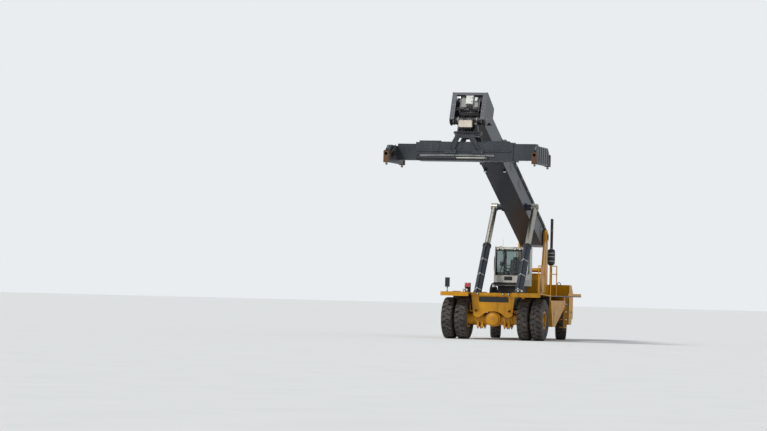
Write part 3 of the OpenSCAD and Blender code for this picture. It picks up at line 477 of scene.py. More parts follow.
# %% Floor and light
floor_paint, tree, shader, place = finish("pale_floor", Roughness=.9)
speck = add(tree, "TexNoise", {"Vector": place, "Scale": .6, "Detail": 6.0})
tone = add(tree, "MixRGB", {"Fac": speck, "Color1": "#dcdbd8", "Color2": "#e6e5e2"})
feed(shader, {"Base Color": tone})
mesh = bmesh.new()
bmesh.ops.create_circle(mesh, cap_ends=True, segments=96, radius=700)
floor_data = to_data("floor", mesh)
floor = bpy.data.objects.new("floor", floor_data)
bpy.context.scene.collection.objects.link(floor)
floor.location.z = -.002
floor_data.materials.append(floor_paint)

world = bpy.data.worlds.new("soft sky")
bpy.context.scene.world = world
world.use_nodes = True
tree = world.node_tree
path = add(tree, "LightPath")
seen = add(tree, "Math", {0: path.outputs["Is Camera Ray"], 1: path.outputs["Is Glossy Ray"]}, operation="MAXIMUM")
seen = add(tree, "Math", {0: seen, 1: path.outputs["Is Transmission Ray"]}, operation="MAXIMUM")
sky = add(tree, "Background", {"Color": "#cfd8e2", "Strength": .55})
backdrop = add(tree, "Background", {"Color": "#e9edf0", "Strength": 1.0})
mixed = add(tree, "MixShader", {0: seen, 1: sky, 2: backdrop})
tree.links.new(mixed.outputs[0], tree.nodes["World Output"].inputs["Surface"])
for name, power, width, aim in (("key sun", 2.3, 12, (-.55, .42, -.72)), ("fill sun", .3, 40, (-.3, -.8, -.5))):
    sun = bpy.data.lights.new(name, "SUN")
    sun.energy = power
    sun.angle = math.radians(width)
    lamp = bpy.data.objects.new(name, sun)
    lamp.rotation_euler = Vector(aim).to_track_quat("-Z", "Y").to_euler()
    bpy.context.scene.collection.objects.link(lamp)
bpy.context.scene.view_settings.view_transform = "Standard"
print("floor and light ready")


# %% [markdown]
# ## The front of the truck
# The front plate carries a name plate, which stays blank here, two lashing eyes
# and the arch over the axle. Real eyes have a welded ring, because a chain would
# cut into a bare plate edge. Each is a turned ring; the arch gets a round bead.
# %% Front plate
front = .42
on_truck("name_plate_blank", black_plastic,
     [(slab, [(-.58, 1.51), (.64, 1.51), (.64, 1.72), (-.58, 1.72)], "x", front, front + .012)])
on_truck("name_plate_bolts", worn_steel,
     [(bar, (front + .011, y, z), (front + .02, y, z), .011, 6) for y in (-.55, .03, .61)
      for z in (1.535, 1.695)], .001)
eye_ring = ring(.057, .09)
on_truck("lashing_eye_rings", amber_enamel,
     [(turned, (front, y, 1.155), (front + .014, y, 1.155), eye_ring) for y in (-.69, .69)])
arch = [(front, .7 * math.sin(t), .455 + .7 * math.cos(t)) for t in (k * math.pi / 32 for k in range(-9, 10))]
pipes("arch_bead", "chassis", amber_enamel, [arch], .012)
on_truck("front_beam_bolts", worn_steel,
     [(bar, (.48, y, 1.80), (.494, y, 1.80), .013, 6) for y in (-.84, -.4, -.15, .12, .84)], .001)
print("front plate dressed, arch bead of", len(arch), "points")


# %% [markdown]
# ## Bolts of the drive axle
# The cover of the differential is held by a ring of bolts, and two clamps with
# long studs hold the axle under the rails. Hexagonal bars stand for the heads:
# at this distance a head of 24 mm is about as small as the eye can find.
# %% Drive axle bolts
on_truck("differential_bolts", amber_enamel,
     [(bolts, (.372, 0, axle_z), (1, 0, 0), .249, 20, .012, .016),
      (bolts, (.425, 0, axle_z), (1, 0, 0), .225, 12, .009, .012)], .002)
studs = [(x, side * y) for x in (-.235, .235) for y in (.465, .645) for side in both]
on_truck("axle_clamp_studs", worn_steel,
     [(bar, (x, y, .466), (x, y, .425), .013, 12) for x, y in studs] +
     [(bar, (x, y, .466), (x, y, .442), .026, 6) for x, y in studs], .002)
on_truck("axle_breather_and_plugs", worn_steel,
     [(bar, (.0, y, 1.05), (.0, y, 1.10), .014, 12) for y in (-.2, .2)] +
     [(bar, (.48, 0, axle_z), (.49, 0, axle_z), .03, 6), (bar, (.2, 0, .54), (.2, 0, .52), .022, 6)], .002)
print(len(studs), "studs under the axle")


# %% [markdown]
# ## Lamps
# Each lamp is a black housing from the CAD model. It gets a lens of clear
# polycarbonate and a rim that holds it. The red one on the right fender is a
# warning lamp on its own bracket, with a red lens over a black back.
# %% Lamps
lamp_table = [  # front x, y, z, radius
    (.55, -.62, 1.835, .045), (.55, .43, 1.835, .045), (.55, .66, 1.835, .045),
    (.92, -.975, 1.9803, .055), (.92, 1.13, 1.9803, .055), (.92, 1.29, 1.9803, .055)]
glass_rows, rim_rows = [], []
for x, y, z, r in lamp_table:
    glass_rows.append((bar, (x - .002, y, z), (x + .008, y, z), r - .008, 28, r - .018))
    rim_rows.append((turned, (x - .012, y, z), (x + .012, y, z),
         [(r - .008, 0), (r + .003, 0), (r + .003, .8), (r - .004, 1), (r - .008, 1)]))
on_truck("lamp_lenses", clear_lens, glass_rows, .002)
on_truck("lamp_rims", black_plastic, rim_rows, .001)
on_truck("lamp_brackets", dark_enamel,
     [(block, (.82, y - .03, fender_top), (.90, y + .03, fender_top + .0057)) for y in (-.975, 1.13, 1.29)] +
     [(block, (.74, -1.09, fender_top), (.755, -.85, 2.25)),
      (block, (.72, -1.09, fender_top), (.80, -.85, fender_top + .0077))], .002)
on_truck("warning_lamp_housing", black_plastic, [(block, (.755, -1.095, 2.075), (.80, -.845, 2.265))], .012)
on_truck("warning_lamp_lens", red_lens, [(block, (.799, -1.08, 2.09), (.835, -.86, 2.25))], .014)
on_truck("small_work_lamp", black_plastic,
     [(bar, (.85, -1.12, fender_top), (.85, -1.12, 1.95), .012),
      (bar, (.81, -1.12, 1.985), (.88, -1.12, 1.985), .042, 28)], .004)
on_truck("small_work_lamp_lens", clear_lens,
     [(bar, (.879, -1.12, 1.985), (.887, -1.12, 1.985), .036, 28, .028)], .002)
mirror_silver = bare_metal("silvered_mirror", "#dfe4e6", "#c8cfd2", .03, .2, 200)
slots[mirror_silver] = "chrome_rod"
on_truck("mirror_glass", mirror_silver,
     [(slab, [(-1.87, 2.10), (-1.71, 2.10), (-1.71, 2.44), (-1.87, 2.44)], "x", .846, .851)], .003)
on_truck("mirror_clamps", dark_enamel,
     [(turned, (.88, -1.79, z), (.88, -1.79, z + .03), ring(.016, .03)) for z in (1.9004, 2.04)], .002)
print(len(lamp_table) + 2, "lamps have lenses")


# %% [markdown]
# ## Fenders and decks
# People walk on both. The fenders have rough black strips glued on, and a row of
# bolts along the folded lip. The decks are chequer plate: raised lozenges, which
# are 30 mm long on the real plate and drawn twice as long so that they show.
# They are bump only, worked out from two crossed waves, because a million real
# lozenges would cost far more than they give.
# %% Chequer plate
lozenge_scale = 5.2
chequer_plate, tree, shader, place = finish("chequer_plate", Roughness=.55, Coat_Weight=.05)
wave_a = add(tree, "TexWave", {"Vector": place, "Scale": lozenge_scale}, bands_direction="DIAGONAL")
flip = add(tree, "Mapping", {"Vector": place, "Scale": (1, -1, 1)})
wave_b = add(tree, "TexWave", {"Vector": flip, "Scale": lozenge_scale}, bands_direction="DIAGONAL")
lozenge = add(tree, "Math", {0: wave_a, 1: wave_b}, operation="MULTIPLY")
raised = add(tree, "MapRange", {"Value": lozenge, "From Min": .45, "From Max": .7})
dirt = add(tree, "TexNoise", {"Vector": place, "Scale": 2.2, "Detail": 7.0})
worn = add(tree, "MixRGB", {"Fac": raised, "Color1": "#2a2a2b", "Color2": "#56544f"})
dusty = add(tree, "MapRange", {"Value": dirt, "From Min": .42, "From Max": .7, "To Max": .55})
tone = add(tree, "MixRGB", {"Fac": dusty, "Color1": worn, "Color2": "#8b8070"})
feed(shader, {"Base Color": tone})
bump = add(tree, "Bump", {"Height": raised, "Strength": .6, "Distance": .006})
feed(shader, {"Normal": bump})
slots[chequer_plate] = "dark_paint"
nodes["decks"].data.materials[0] = chequer_plate

# %% Fender and deck trim
def grip(y0, y1):
    return [(block, (x, y0, fender_top), (x + .12, y1, fender_top + .0042)) for x in (-.0, .18, .36, .54)]


on_truck("fender_grip_strips", hose_rubber, grip(1.02, 1.98) + grip(-1.7, -1.2), 0)
on_truck("fender_lip_bolts", worn_steel,
     [(bar, (.96, side * (.98 + .17 * k), 1.80), (.972, side * (.98 + .17 * k), 1.80), .011, 6) for k in range(7)
      for side in both], .001)
mud_flap = [(1.02, 1.20), (1.98, 1.20), (2.0, 1.80), (1.0, 1.80)]
on_truck("mud_flaps", hose_rubber,
     [(slab, [(side * y, z) for y, z in mud_flap], "x", -1.012, -1.003) for side in both], .002)
on_truck("kick_plates", amber_enamel,
     [(block, (-6.94, side * 2.042 - .004, deck_top + .0001), (-4.4, side * 2.042 + .004, 1.93)) for side in both] +
     [(block, (-2.3, -2.046, deck_top + .0001), (-1.02, -2.038, 1.93))], .002)
on_truck("deck_screws", worn_steel,
     [(bar, (x, side * y, deck_top - .0001), (x, side * y, deck_top + .005), .014, 8)
      for x in (-1.1, -2.4, -3.8, -5.2, -6.8) for y in (.72, 1.98) for side in both], .001)
print("fenders and decks dressed")


# %% [markdown]
# ## Handrails and ladder
# Handrails are bent from round tube and welded into feet that are bolted down.
# Ball joints are turned; the grip tape on the ladder treads is a thin rough strip.
# %% Rails and treads
feet, balls = [], []
ball = [(.0225, .1), (.031, .3), (.034, .5), (.031, .7), (.0225, .9)]
for x in (-1.15, -2.25):
    for y in (1.5, 2.0):
        feet.append((turned, (x, y, deck_top + .0002), (x, y, deck_top + .025),
             [(.022, 0), (.06, 0), (.06, .45), (.03, .5), (.026, 1), (.022, 1)]))
        feet.append((bolts, (x, y, deck_top + .011), (0, 0, 1), .046, 4, .008, .012))
        balls.append((turned, (x, y, 2.668), (x, y, 2.732), ball, 20))
on_truck("rail_feet", amber_enamel, feet, .002)
on_truck("rail_joints", amber_enamel, balls, 0)
on_truck("ladder_grips", hose_rubber,
     [(block, (-4.22, 1.83, z + .0301), (-3.88, 2.03, z + .034)) for z in (.52, .84, 1.16, 1.48)], 0)
on_truck("step_edges", galvanised,
     [(block, (-4.222, 2.0402, z - .004), (-3.878, 2.046, z + .034)) for z in (.52, .84, 1.16, 1.48)], .002)
print(len(balls), "rail joints")


# %% [markdown]
# ## Side boxes and counterweight
# The left box is the fuel tank, so it has a filler cap on top and straps; the
# right one holds hydraulic oil and has a sight glass. The counterweight is a
# casting with rounded edges, lifting eyes and two tail lamps.
# %% Boxes and tail
cap = solid((.07, 0), (.075, .2), (.075, .8), (.06, 1))
on_truck("filler_caps", black_plastic,
     [(turned, (-1.35, side * 1.9, 1.6298), (-1.35, side * 1.9, 1.70), cap) for side in (1, -1)], .002)
box_bolts = [(-1.2, 1.5), (-1.55, .75), (-2.2, .85), (-2.9, 1.2), (-3.5, 1.5), (-2.3, 1.5)]
on_truck("side_box_bolts", worn_steel,
     [(bar, (x, side * 2.06, z), (x, side * 2.069, z), .016, 6) for x, z in box_bolts for side in both], .001)
on_truck("side_box_doors", amber_enamel,
     [(slab, [(-1.62, .72), (-2.1, .80), (-2.1, 1.45), (-1.62, 1.45)], "y", side * 2.063 - .0035,
      side * 2.063 + .0035) for side in both], .003)
on_truck("side_box_latches", galvanised,
     [(block, (-1.70, side * 2.074 - .008, 1.05), (-1.66, side * 2.074 + .008, 1.17)) for side in both] +
     [(bar, (-2.09, side * 2.07, z), (-2.09, side * 2.07, z + .07), .009, 12) for side in both
      for z in (.9, 1.3)], .002)
on_truck("oil_level_frame", galvanised,
     [(slab, [(-2.55, 1.1), (-2.48, 1.1), (-2.48, 1.36), (-2.55, 1.36)], "y", -2.068, -2.06)], .003)
# The sight glass wears the amber lens, with its faint painted glow.
on_truck("oil_level_glass", amber_lens,
     [(slab, [(-2.535, 1.13), (-2.495, 1.13), (-2.495, 1.33), (-2.535, 1.33)], "y", -2.071, -2.067)], .002)


def raked_tail(low, high, tall):
    """Outline on the counterweight's raked rear edge, from depth low to high, cut short by tall at both ends."""
    top, foot = Vector((-7.78, 2.05)), Vector((-7.90, 1.90))
    along = (foot - top).normalized()
    out = Vector((-.7809, .6247))
    a, b = top + along * tall, foot - along * (tall + .03)
    return [tuple(a + out * low), tuple(b + out * low), tuple(b + out * high), tuple(a + out * high)]


on_truck("tail_lamp_housings", black_plastic,
     [(slab, raked_tail(-.001, .012, .01), "y", side * 1.2 - .2, side * 1.2 + .2) for side in both], .004)
on_truck("tail_lamp_lenses", red_lens,
     [(slab, raked_tail(.0115, .02, .02), "y", side * 1.2 - .19, side * 1.2) for side in both], .003)
on_truck("tail_turn_lenses", amber_lens,
     [(slab, raked_tail(.0115, .02, .02), "y", side * 1.2 + .01, side * 1.2 + .19) for side in both], .003)
on_truck("counterweight_eyes", worn_steel,
     [(hoop, (-7.3, y, 2.33), (1, 0, 0), .07, .018) for y in (-1.0, 1.0)] +
     [(block, (-7.34, y - .1, 2.2999), (-7.26, y + .1, 2.306)) for y in (-1.0, 1.0)], .002)
on_truck("counterweight_bolts", worn_steel,
     [(bar, (x, side * 1.4995, z), (x, side * 1.52, z), .04, 6) for side in both for x in (-7.3, -7.62)
      for z in (1.15, 1.85)], .003)
on_truck("reversing_horn", black_plastic,
     [(bar, (-7.638, 0, 2.172), (-7.675, 0, 2.214), .03, 20, .06),
      (bar, (-7.636, 0, 2.17), (-7.644, 0, 2.179), .07, 6)], .002)
print("tail dressed")


# %% [markdown]
# ## The outside of the cab
# The cab is welded from pale steel and its windows are flat panes held in black
# rubber. On the real one a rubber strip is pressed round each opening. Here each
# strip is a thin slab that follows the raked front or the straight side, because
# that keeps its corners sharp where the real ones are mitred. The plate on the
# front stays blank. Below the floor a dark skirt hides the mounts.
# %% Window rubbers
screen_back, screen_foot, screen_tall = .13, .42, 1.14


def raked(z):
    return -screen_back * max(z - screen_foot, 0) / screen_tall


def screen_strip(y0, y1, z0, z1, out=.014, inset=-.002):
    return (slab, [(raked(z0) + inset, z0), (raked(z1) + inset, z1), (raked(z1) + out, z1),
         (raked(z0) + out, z0)], "y", y0, y1)


on_cab("windscreen_rubber", window_rubber,
     [screen_strip(-.545, .545, 1.455, 1.49), screen_strip(-.545, .545, .425, .455),
      screen_strip(-.545, -.51, .45, 1.46), screen_strip(.51, .545, .45, 1.46)], .003)
on_cab("windscreen_frame", black_plastic,
     [screen_strip(y0, y1, .46, 1.45, .006) for y0, y1 in ((-.20, -.165), (.30, .318))], .002)


def frame_rows(low, high, wide, axis, spot, thick):
    (a0, b0), (a1, b1) = low, high
    boxes = [(a0 - wide, b1, a1 + wide, b1 + wide), (a0 - wide, b0 - wide, a1 + wide, b0), (a0 - wide, b0, a0, b1),
         (a1, b0, a1 + wide, b1)]
    return [(slab, [(a, b), (c, b), (c, d), (a, d)], axis, spot, spot + thick) for a, b, c, d in boxes]


on_cab("side_and_rear_rubbers", window_rubber,
     frame_rows((-1.61, .56), (-.33, 1.44), .022, "y", -.608, .009) +
     frame_rows((-.48, .62), (.48, 1.42), .022, "x", -1.758, .009) +
     frame_rows((-1.4, -.44), (-.31, .44), .022, "z", 1.559, .009), .002)
on_door("door_rubber", window_rubber, frame_rows((-1.22, .50), (-.46, 1.39), .02, "y", .604, .008), .002)
print("window rubbers follow a rake of %.1f degrees" % math.degrees(math.atan(screen_back / screen_tall)))

# %% Cab trim
on_cab("cab_sill", dark_enamel,
     [(block, (.0005, -.6, .02), (.012, .6, .13)), (block, (-1.74, -.612, .02), (-.01, -.6005, .10))], .003)
on_cab("cab_plate_blank", black_plastic, [(block, (.0005, -.16, .215), (.008, .18, .375))], .003)
on_cab("cab_roof_edge", pale_enamel,
     [(block, (-.155, -.62, 1.562), (-.125, .62, 1.586)), (block, (-1.76, -.62, 1.562), (-1.73, .62, 1.586)),
      (block, (-1.73, -.62, 1.562), (-.155, -.60, 1.586)), (block, (-1.73, .60, 1.562), (-.155, .62, 1.586))], .006)
on_cab("cab_skirt", dark_enamel,
     [(block, (-1.60, side * .455 - .004, -.36), (-.14, side * .455 + .004, -.002)) for side in both] +
     [(block, (-.144, -.459, -.36), (-.136, .459, -.002)), (block, (-1.604, -.459, -.36), (-1.596, .459, -.002))] +
     [(block, (-1.70, -.56, -.03), (-.04, .56, -.001))], .003)
on_door("door_kick_plate", galvanised, [(block, (-1.26, .6045, .10), (-.42, .609, .26))], .002)
grab = [(-.30, .606, .50), (-.30, .66, .53), (-.30, .668, .62), (-.30, .668, 1.10), (-.30, .66, 1.19),
     (-.30, .606, 1.22)]
pipes("grab_rail_left", "chassis", black_plastic, [grab], .014, cab)
pipes("grab_rail_right", "chassis", black_plastic, [[(x, -y, z) for x, y, z in grab]], .014, cab)
wiper_foot = Vector((raked(.47) + .03, .02, .47))
wiper_tip = Vector((raked(1.22) + .032, -.28, 1.22))
on_cab("wiper", black_plastic,
     [(bar, wiper_foot + Vector((-.024, 0, 0)), wiper_foot + Vector((.012, 0, 0)), .026, 20, .018),
      (bar, wiper_foot, wiper_foot.lerp(wiper_tip, .62), .008, 8, .006),
      (bar, wiper_foot.lerp(wiper_tip, .62), wiper_foot.lerp(wiper_tip, .66) + Vector((-.008, 0, 0)), .006, 8),
      (slab, [(-.33, .62), (-.315, .615), (-.115, 1.27), (-.13, 1.275)], "x", raked(.95) + .003,
       raked(.95) + .016)], .001)
roof_lamps = [(raked(1.5) + .045, y, 1.505) for y in (-.46, -.26, .26, .46)] + [(-1.78, y, 1.50)
     for y in (-.40, .40)]
housings, lenses = [], []
for x, y, z in roof_lamps:
    way = 1 if x > -1 else -1
    housings += [(turned, (x - way * .02, y, z), (x + way * .05, y, z),
         [(.001, 0), (.04, 0), (.058, .5), (.06, 1), (.05, 1), (.048, .9), (.001, .9)], 28),
                 (block, (x - .012, y - .03, z - .066), (x + .012, y + .03, z - .045)) if way > 0 else
                 (block, (x - .02, y - .03, z - .02), (x + .03, y + .03, z + .02))]
    lenses.append((bar, (x + way * .044, y, z), (x + way * .052, y, z), .047, 28, .04))
on_cab("roof_lamp_housings", black_plastic, housings, .002)
on_cab("roof_lamp_lenses", clear_lens, lenses, .002)
on_cab("beacon_foot", black_plastic, [(turned, (-1.5, -.70, 1.49), (-1.5, -.70, 1.53), solid((.075, 0), (.07, 1))),
      (block, (-1.54, -.70, 1.465), (-1.46, -.599, 1.491)),
      (block, (-1.55, -.612, 1.38), (-1.45, -.5995, 1.49))], .002)
on_cab("beacon_dome", amber_lens,
     [(turned, (-1.5, -.70, 1.529), (-1.5, -.70, 1.65),
      solid((.062, 0), (.06, .55), (.05, .85), (.03, .97)))], .002)
on_cab("radio_aerial", black_plastic,
     [(bar, (-1.66, -.599, 1.44), (-1.66, -.64, 1.44), .018, 16),
      (bar, (-1.66, -.63, 1.43), (-1.72, -.66, 1.98), .006, 8, .003)], .001)
print(len(roof_lamps), "work lamps on the cab")


# %% [markdown]
# ## Inside the cab
# Through the glass the eye meets a dark lining, a floor mat, pedals, a screen on
# an arm and two joysticks. The lining on a real cab is moulded foam behind thin
# vinyl. Thin rounded panels that stand just inside the steel give that, and they
# leave the windows free.
# %% Lining and controls
grey_vinyl = dull_black("grey_vinyl_lining", "#3b3d41", "#56585b", .4, 6, .62, .3)
slots[grey_vinyl] = "black_plastic"
inner = .549
on_cab("cab_lining", grey_vinyl,
     [(block, (-1.698, -inner, .052), (-1.69, inner, .60)), (block, (-1.698, -inner, 1.43), (-1.69, inner, 1.50)),
      (block, (-1.69, -inner, .052), (-.06, -inner + .008, .54)),
      (block, (-1.69, -inner, 1.455), (-.16, -inner + .008, 1.50)),
      (block, (-1.69, inner - .008, .052), (-1.33, inner, 1.50)),
      (block, (-.30, inner - .008, .052), (-.06, inner, .42)),
      (block, (-1.69, -inner, 1.50), (-1.42, inner, 1.508)),
      (block, (-.29, -inner, 1.50), (-.16, inner, 1.508))], .004)
on_cab("floor_mat", hose_rubber, [(block, (-1.68, -.53, .0502), (-.08, .53, .058))] +
     [(block, (-1.6 + .09 * k, -.5, .0575), (-1.56 + .09 * k, .5, .061)) for k in range(16)], .002)
on_cab("pedals", black_plastic,
     [(slab, [(-.30, .08), (-.18, .17), (-.172, .158), (-.292, .068)], "y", y, y + .09) for y in (-.16, .02, .14)] +
     [(bar, (-.2, y + .045, .058), (-.22, y + .045, .13), .008, 8) for y in (-.16, .02, .14)], .003)
on_cab("screen_arm", dark_enamel,
     [(bar, (-.40, -.44, .42), (-.44, -.40, .80), .014, 12),
      (bar, (-.44, -.40, .80), (-.47, -.38, .84), .012, 12)], .002)
on_cab("screen_housing", black_plastic, [(block, (-.50, -.47, .80), (-.465, -.24, .98))], .01)
on_cab("screen_face", window_rubber, [(block, (-.5035, -.455, .815), (-.499, -.255, .965))], .002)
sticks = [(-.98, side * .37) for side in both]
on_cab("arm_pods", grey_vinyl, [(block, (x - .25, y - .06, .54), (x + .12, y + .06, .63)) for x, y in sticks] +
     [(block, (x - .1, y - .035, .062), (x + .04, y + .035, .55)) for x, y in sticks], .018)
on_cab("joysticks", black_plastic,
     [(turned, (x + .06, y, .628), (x + .06, y, .66), solid((.04, 0), (.02, 1)), 20) for x, y in sticks] +
     [(bar, (x + .06, y, .65), (x + .075, y, .74), .009, 10) for x, y in sticks] +
     [(turned, (x + .072, y, .72), (x + .09, y, .81), solid((.018, 0), (.026, .4), (.028, .8), (.014, 1)), 20)
      for x, y in sticks], .001)
on_cab("switch_rows", worn_steel,
     [(block, (x - .2 + .03 * k, y - .03, .6295), (x - .185 + .03 * k, y - .01, .636)) for x, y in sticks
      for k in range(6)], .001)
print("lining stands", round((.55 - inner) * 1000), "mm off the steel")


# %% [markdown]
# ## The seat
# A suspension seat has a foam cushion and back in woven cloth, sewn in channels,
# over a moulded shell. The foam pushes the cloth out between the seams, so a
# plain block would look wrong at once. Each pad starts as a rounded box with
# enough faces, and every point is moved by the crown of the foam and by the
# sewn channels. This is quicker than a cloth simulation and gives the same
# result each run, and behind the glass the difference can't be seen.
# %% Padded seat
def pad(name, size, crown, channels, place):
    """A cushion of size (x, y, z) with its seat side up, crowned, with sewn channels."""
    mesh = bmesh.new()
    bmesh.ops.create_cube(mesh, size=2)
    bmesh.ops.subdivide_edges(mesh, edges=mesh.edges[:], cuts=23, use_grid_fill=True)
    for vert in mesh.verts:
        x, y, z = vert.co
        sides = ((1 - abs(x) ** 6) ** (1 / 2.6) if abs(x) < 1 else 0, (1 - abs(y) ** 6) ** (1 / 2.6)
             if abs(y) < 1 else 0)
        edge = min(1.0, sides[0] * sides[1])
        pull = 1 - .035 * abs(z) ** 4 - .02 * math.cos(3.2 * z)
        groove = sum(math.exp(-(x - c) ** 2 / .0012) for c in channels) * .16 * max(z, 0)
        piping = .05 * math.exp(-(z - .55) ** 2 / .004)
        vert.co = (x * size[0] / 2 * (pull + piping) * (1 - .05 * (1 - sides[1])),
             y * size[1] / 2 * (pull + piping) * (1 - .05 * (1 - sides[0])),
                   z * size[2] / 2 * (1 if z < 0 else .45 + .55 * edge + crown * edge - groove))
    obj = settle(name, to_data(name, mesh, cab @ place), "chassis", seat_cloth)
    soften(obj, 60)
    return obj


cushion = pad("seat_cushion", (.48, .48, .11), .18, (-.45, 0, .45), Matrix.Translation((-1.14, 0, .435)))
lean_back = Matrix.Translation((-1.385, 0, .80)) @ Matrix.Rotation(math.radians(84), 4, "Y")
backrest = pad("seat_back", (.56, .46, .10), .2, (-.55, -.18, .18, .55), lean_back)
headrest = pad("seat_headrest", (.16, .26, .08), .25, (),
     Matrix.Translation((-1.41, 0, 1.11)) @ Matrix.Rotation(math.radians(84), 4, "Y"))
on_cab("seat_shell", black_plastic,
             [(slab, [(-1.40, .36), (-.90, .36), (-.88, .385), (-1.38, .39), (-1.425, .45), (-1.47, 1.08),
              (-1.49, 1.08), (-1.44, .42)], "y", -.22, .22),
              (block, (-1.33, -.19, .20), (-.95, .19, .34)), (block, (-1.36, -.21, .062), (-.92, .21, .09))] +
             [(bar, (-1.3, side * .16, .34), (-1.0, side * .16, .365), .012, 10) for side in both], .008)
on_cab("seat_suspension_bellows", hose_rubber,
               [(slab, [(-1.32 + k % 2 * .015, .09 + .0122 * k), (-.96 - k % 2 * .015, .09 + .0122 * k),
                        (-.96 - (k + 1) % 2 * .015, .09 + .0122 * (k + 1)),
                        (-1.32 + (k + 1) % 2 * .015, .09 + .0122 * (k + 1))], "y", -.18, .18)
                for k in range(9)], 0)
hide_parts("seat")
for name, obj in (("cushion", cushion), ("back", backrest), ("headrest", headrest)):
    print(name, [round(d, 3) for d in obj.dimensions])


# %% [markdown]
# ## Hood, exhaust and towers
# The hood is a folded cover with louvres. Behind them a real one has a perforated
# sheet that keeps leaves off the radiator, so a dark mesh stands just inside. Its
# holes are painted near black: painted shade of the dark space behind them.
# Rubber latches, a lifting handle and hinge barrels tell that it opens. The
# muffler has a perforated heat shield held by bands, and the pivot pin of the
# boom is kept by bolted caps on both towers.
# %% Hood
perforated, tree, shader, place = finish("perforated_sheet", Metallic=.6, Roughness=.6)
mesh_scale = 18.0
wave_y = add(tree, "TexWave", {"Vector": place, "Scale": mesh_scale}, bands_direction="X")
wave_z = add(tree, "TexWave", {"Vector": place, "Scale": mesh_scale}, bands_direction="Z")
holes = add(tree, "Math", {0: wave_y, 1: wave_z}, operation="MULTIPLY")
mask = add(tree, "MapRange", {"Value": holes, "From Min": .25, "From Max": .5})
# The holes are painted near black: painted shade of the space behind the sheet.
tone = add(tree, "MixRGB", {"Fac": mask, "Color1": "#4b4a47", "Color2": "#101010"})
feed(shader, {"Base Color": tone})
bump = add(tree, "Bump", {"Height": mask, "Strength": -.5, "Distance": .004})
feed(shader, {"Normal": bump})
slots[perforated] = "dark_paint"
on_hood = on("hood_cover")
on_hood("hood_side_meshes", perforated,
     [(block, (-5.52, side * .772 - .002, 1.97), (-4.55, side * .772 + .002, 2.56)) for side in both], 0)
on_hood("hood_latches", hose_rubber,
     [(block, (x - .025, -.816, 1.86), (x + .025, -.8005, 1.97)) for x in (-5.3, -4.6)], .006)
on_hood("hood_latch_hooks", worn_steel,
     [(block, (x - .035, -.824, 1.845), (x + .035, -.8005, 1.862)) for x in (-5.3, -4.6)], .003)
pipes("hood_handle", "hood_cover", black_plastic,
      [[(-4.44, y, z) for y, z in ((-.801, 2.12), (-.85, 2.13), (-.855, 2.20), (-.855, 2.30), (-.85, 2.37),
       (-.801, 2.38))]], .012)
on_hood("hood_roof_ribs", amber_enamel,
     [(block, (x - .03, -.72, 2.7298), (x + .03, .72, 2.745)) for x in (-5.45, -5.2, -4.70, -4.45)], .006)
bowl = solid((.11, 0), (.11, .18), (.15, .26), (.16, .60), (.13, .74), (.165, .76), (.165, .86), (.09, 1))
on_hood("air_precleaner", black_plastic, [(turned, (-4.95, -.35, 2.73), (-4.95, -.35, 3.05), bowl)], .003)
on_hood("precleaner_band", galvanised,
     [(turned, (-4.95, -.35, 2.736), (-4.95, -.35, 2.756), ring(.108, .116))], .001)
on_hood("hood_edge_bolts", worn_steel,
     [(bar, (x, side * .80, 2.66), (x, side * .81, 2.66), .012, 6) for x in (-5.58, -5.2, -4.8, -4.32)
      for side in both], .001)
print("hood dressed, louvre mesh with", round(1000 / mesh_scale / 2), "mm drawn holes")

# %% Exhaust and air
stack = truck @ Matrix.Translation((-3.5, 1.48, 0))
on_stack = on("chassis", stack)
band_heights = (3.24, 3.42, 3.57)
# The shield's holes carry the same painted shade.
on_stack("muffler_shield", perforated,
     [(turned, (0, 0, 3.20), (0, 0, 3.64), ring(.1505, .158), 40)], .002)
on_stack("muffler_bands", galvanised,
     [(turned, (0, 0, z), (0, 0, z + .028), ring(.150, .163), 40) for z in band_heights] +
     [(block, (-.185, -.02, z - .003), (-.155, .02, z + .031)) for z in band_heights], .002)
on_stack("pipe_clamps", worn_steel,
     [(turned, (0, 0, z), (0, 0, z + .03), ring(r - .002, r + .008), 28)
      for z, r in ((2.4, .05), (3.05, .05), (3.76, .058), (4.5, .058))], .002)
print("exhaust stands at", tuple(round(c, 2) for c in stack.translation))

# %% Towers and pivot
pivot_cap = solid((.13, 0), (.13, .6), (.11, 1))
on_truck("pivot_caps", dark_enamel,
     [(turned, (pivot_x, side * .616, pivot_z), (pivot_x, side * .64, pivot_z), pivot_cap) for side in both], .003)
on_truck("pivot_cap_bolts", worn_steel,
     [(bolts, (pivot_x, side * .634, pivot_z), (0, side, 0), .095, 6, .012, .016) for side in both], .001)
on_truck("tower_gussets", amber_enamel,
     [(slab, [(-5.98, deck_top + .0002), (-5.68, deck_top + .0002), (-5.98, 2.25)], "y", side * .535 - .012,
      side * .535 + .012)
      for side in both], .002)
on_truck("tower_bolts", worn_steel,
     [(bar, (x, side * .57, z), (x, side * .584, z), .016, 6) for side in both
      for x, z in ((-6.5, 2.0), (-6.2, 2.0), (-6.5, 2.3), (-6.2, 2.3))], .001)
pipes("grease_lines", "chassis", galvanised,
      [[(-6.46, side * .578, 2.5), (-6.46, side * .578, 3.0), (-6.48, side * .578, 3.6), (-6.55, side * .578, 4.05),
       (-6.58, side * .60, 4.15)] for side in both], .006)
on_truck("grease_blocks", worn_steel,
     [(block, (-6.49, side * .59 - .018, 2.42), (-6.43, side * .59 + .018, 2.52)) for side in both], .002)
print("towers dressed")


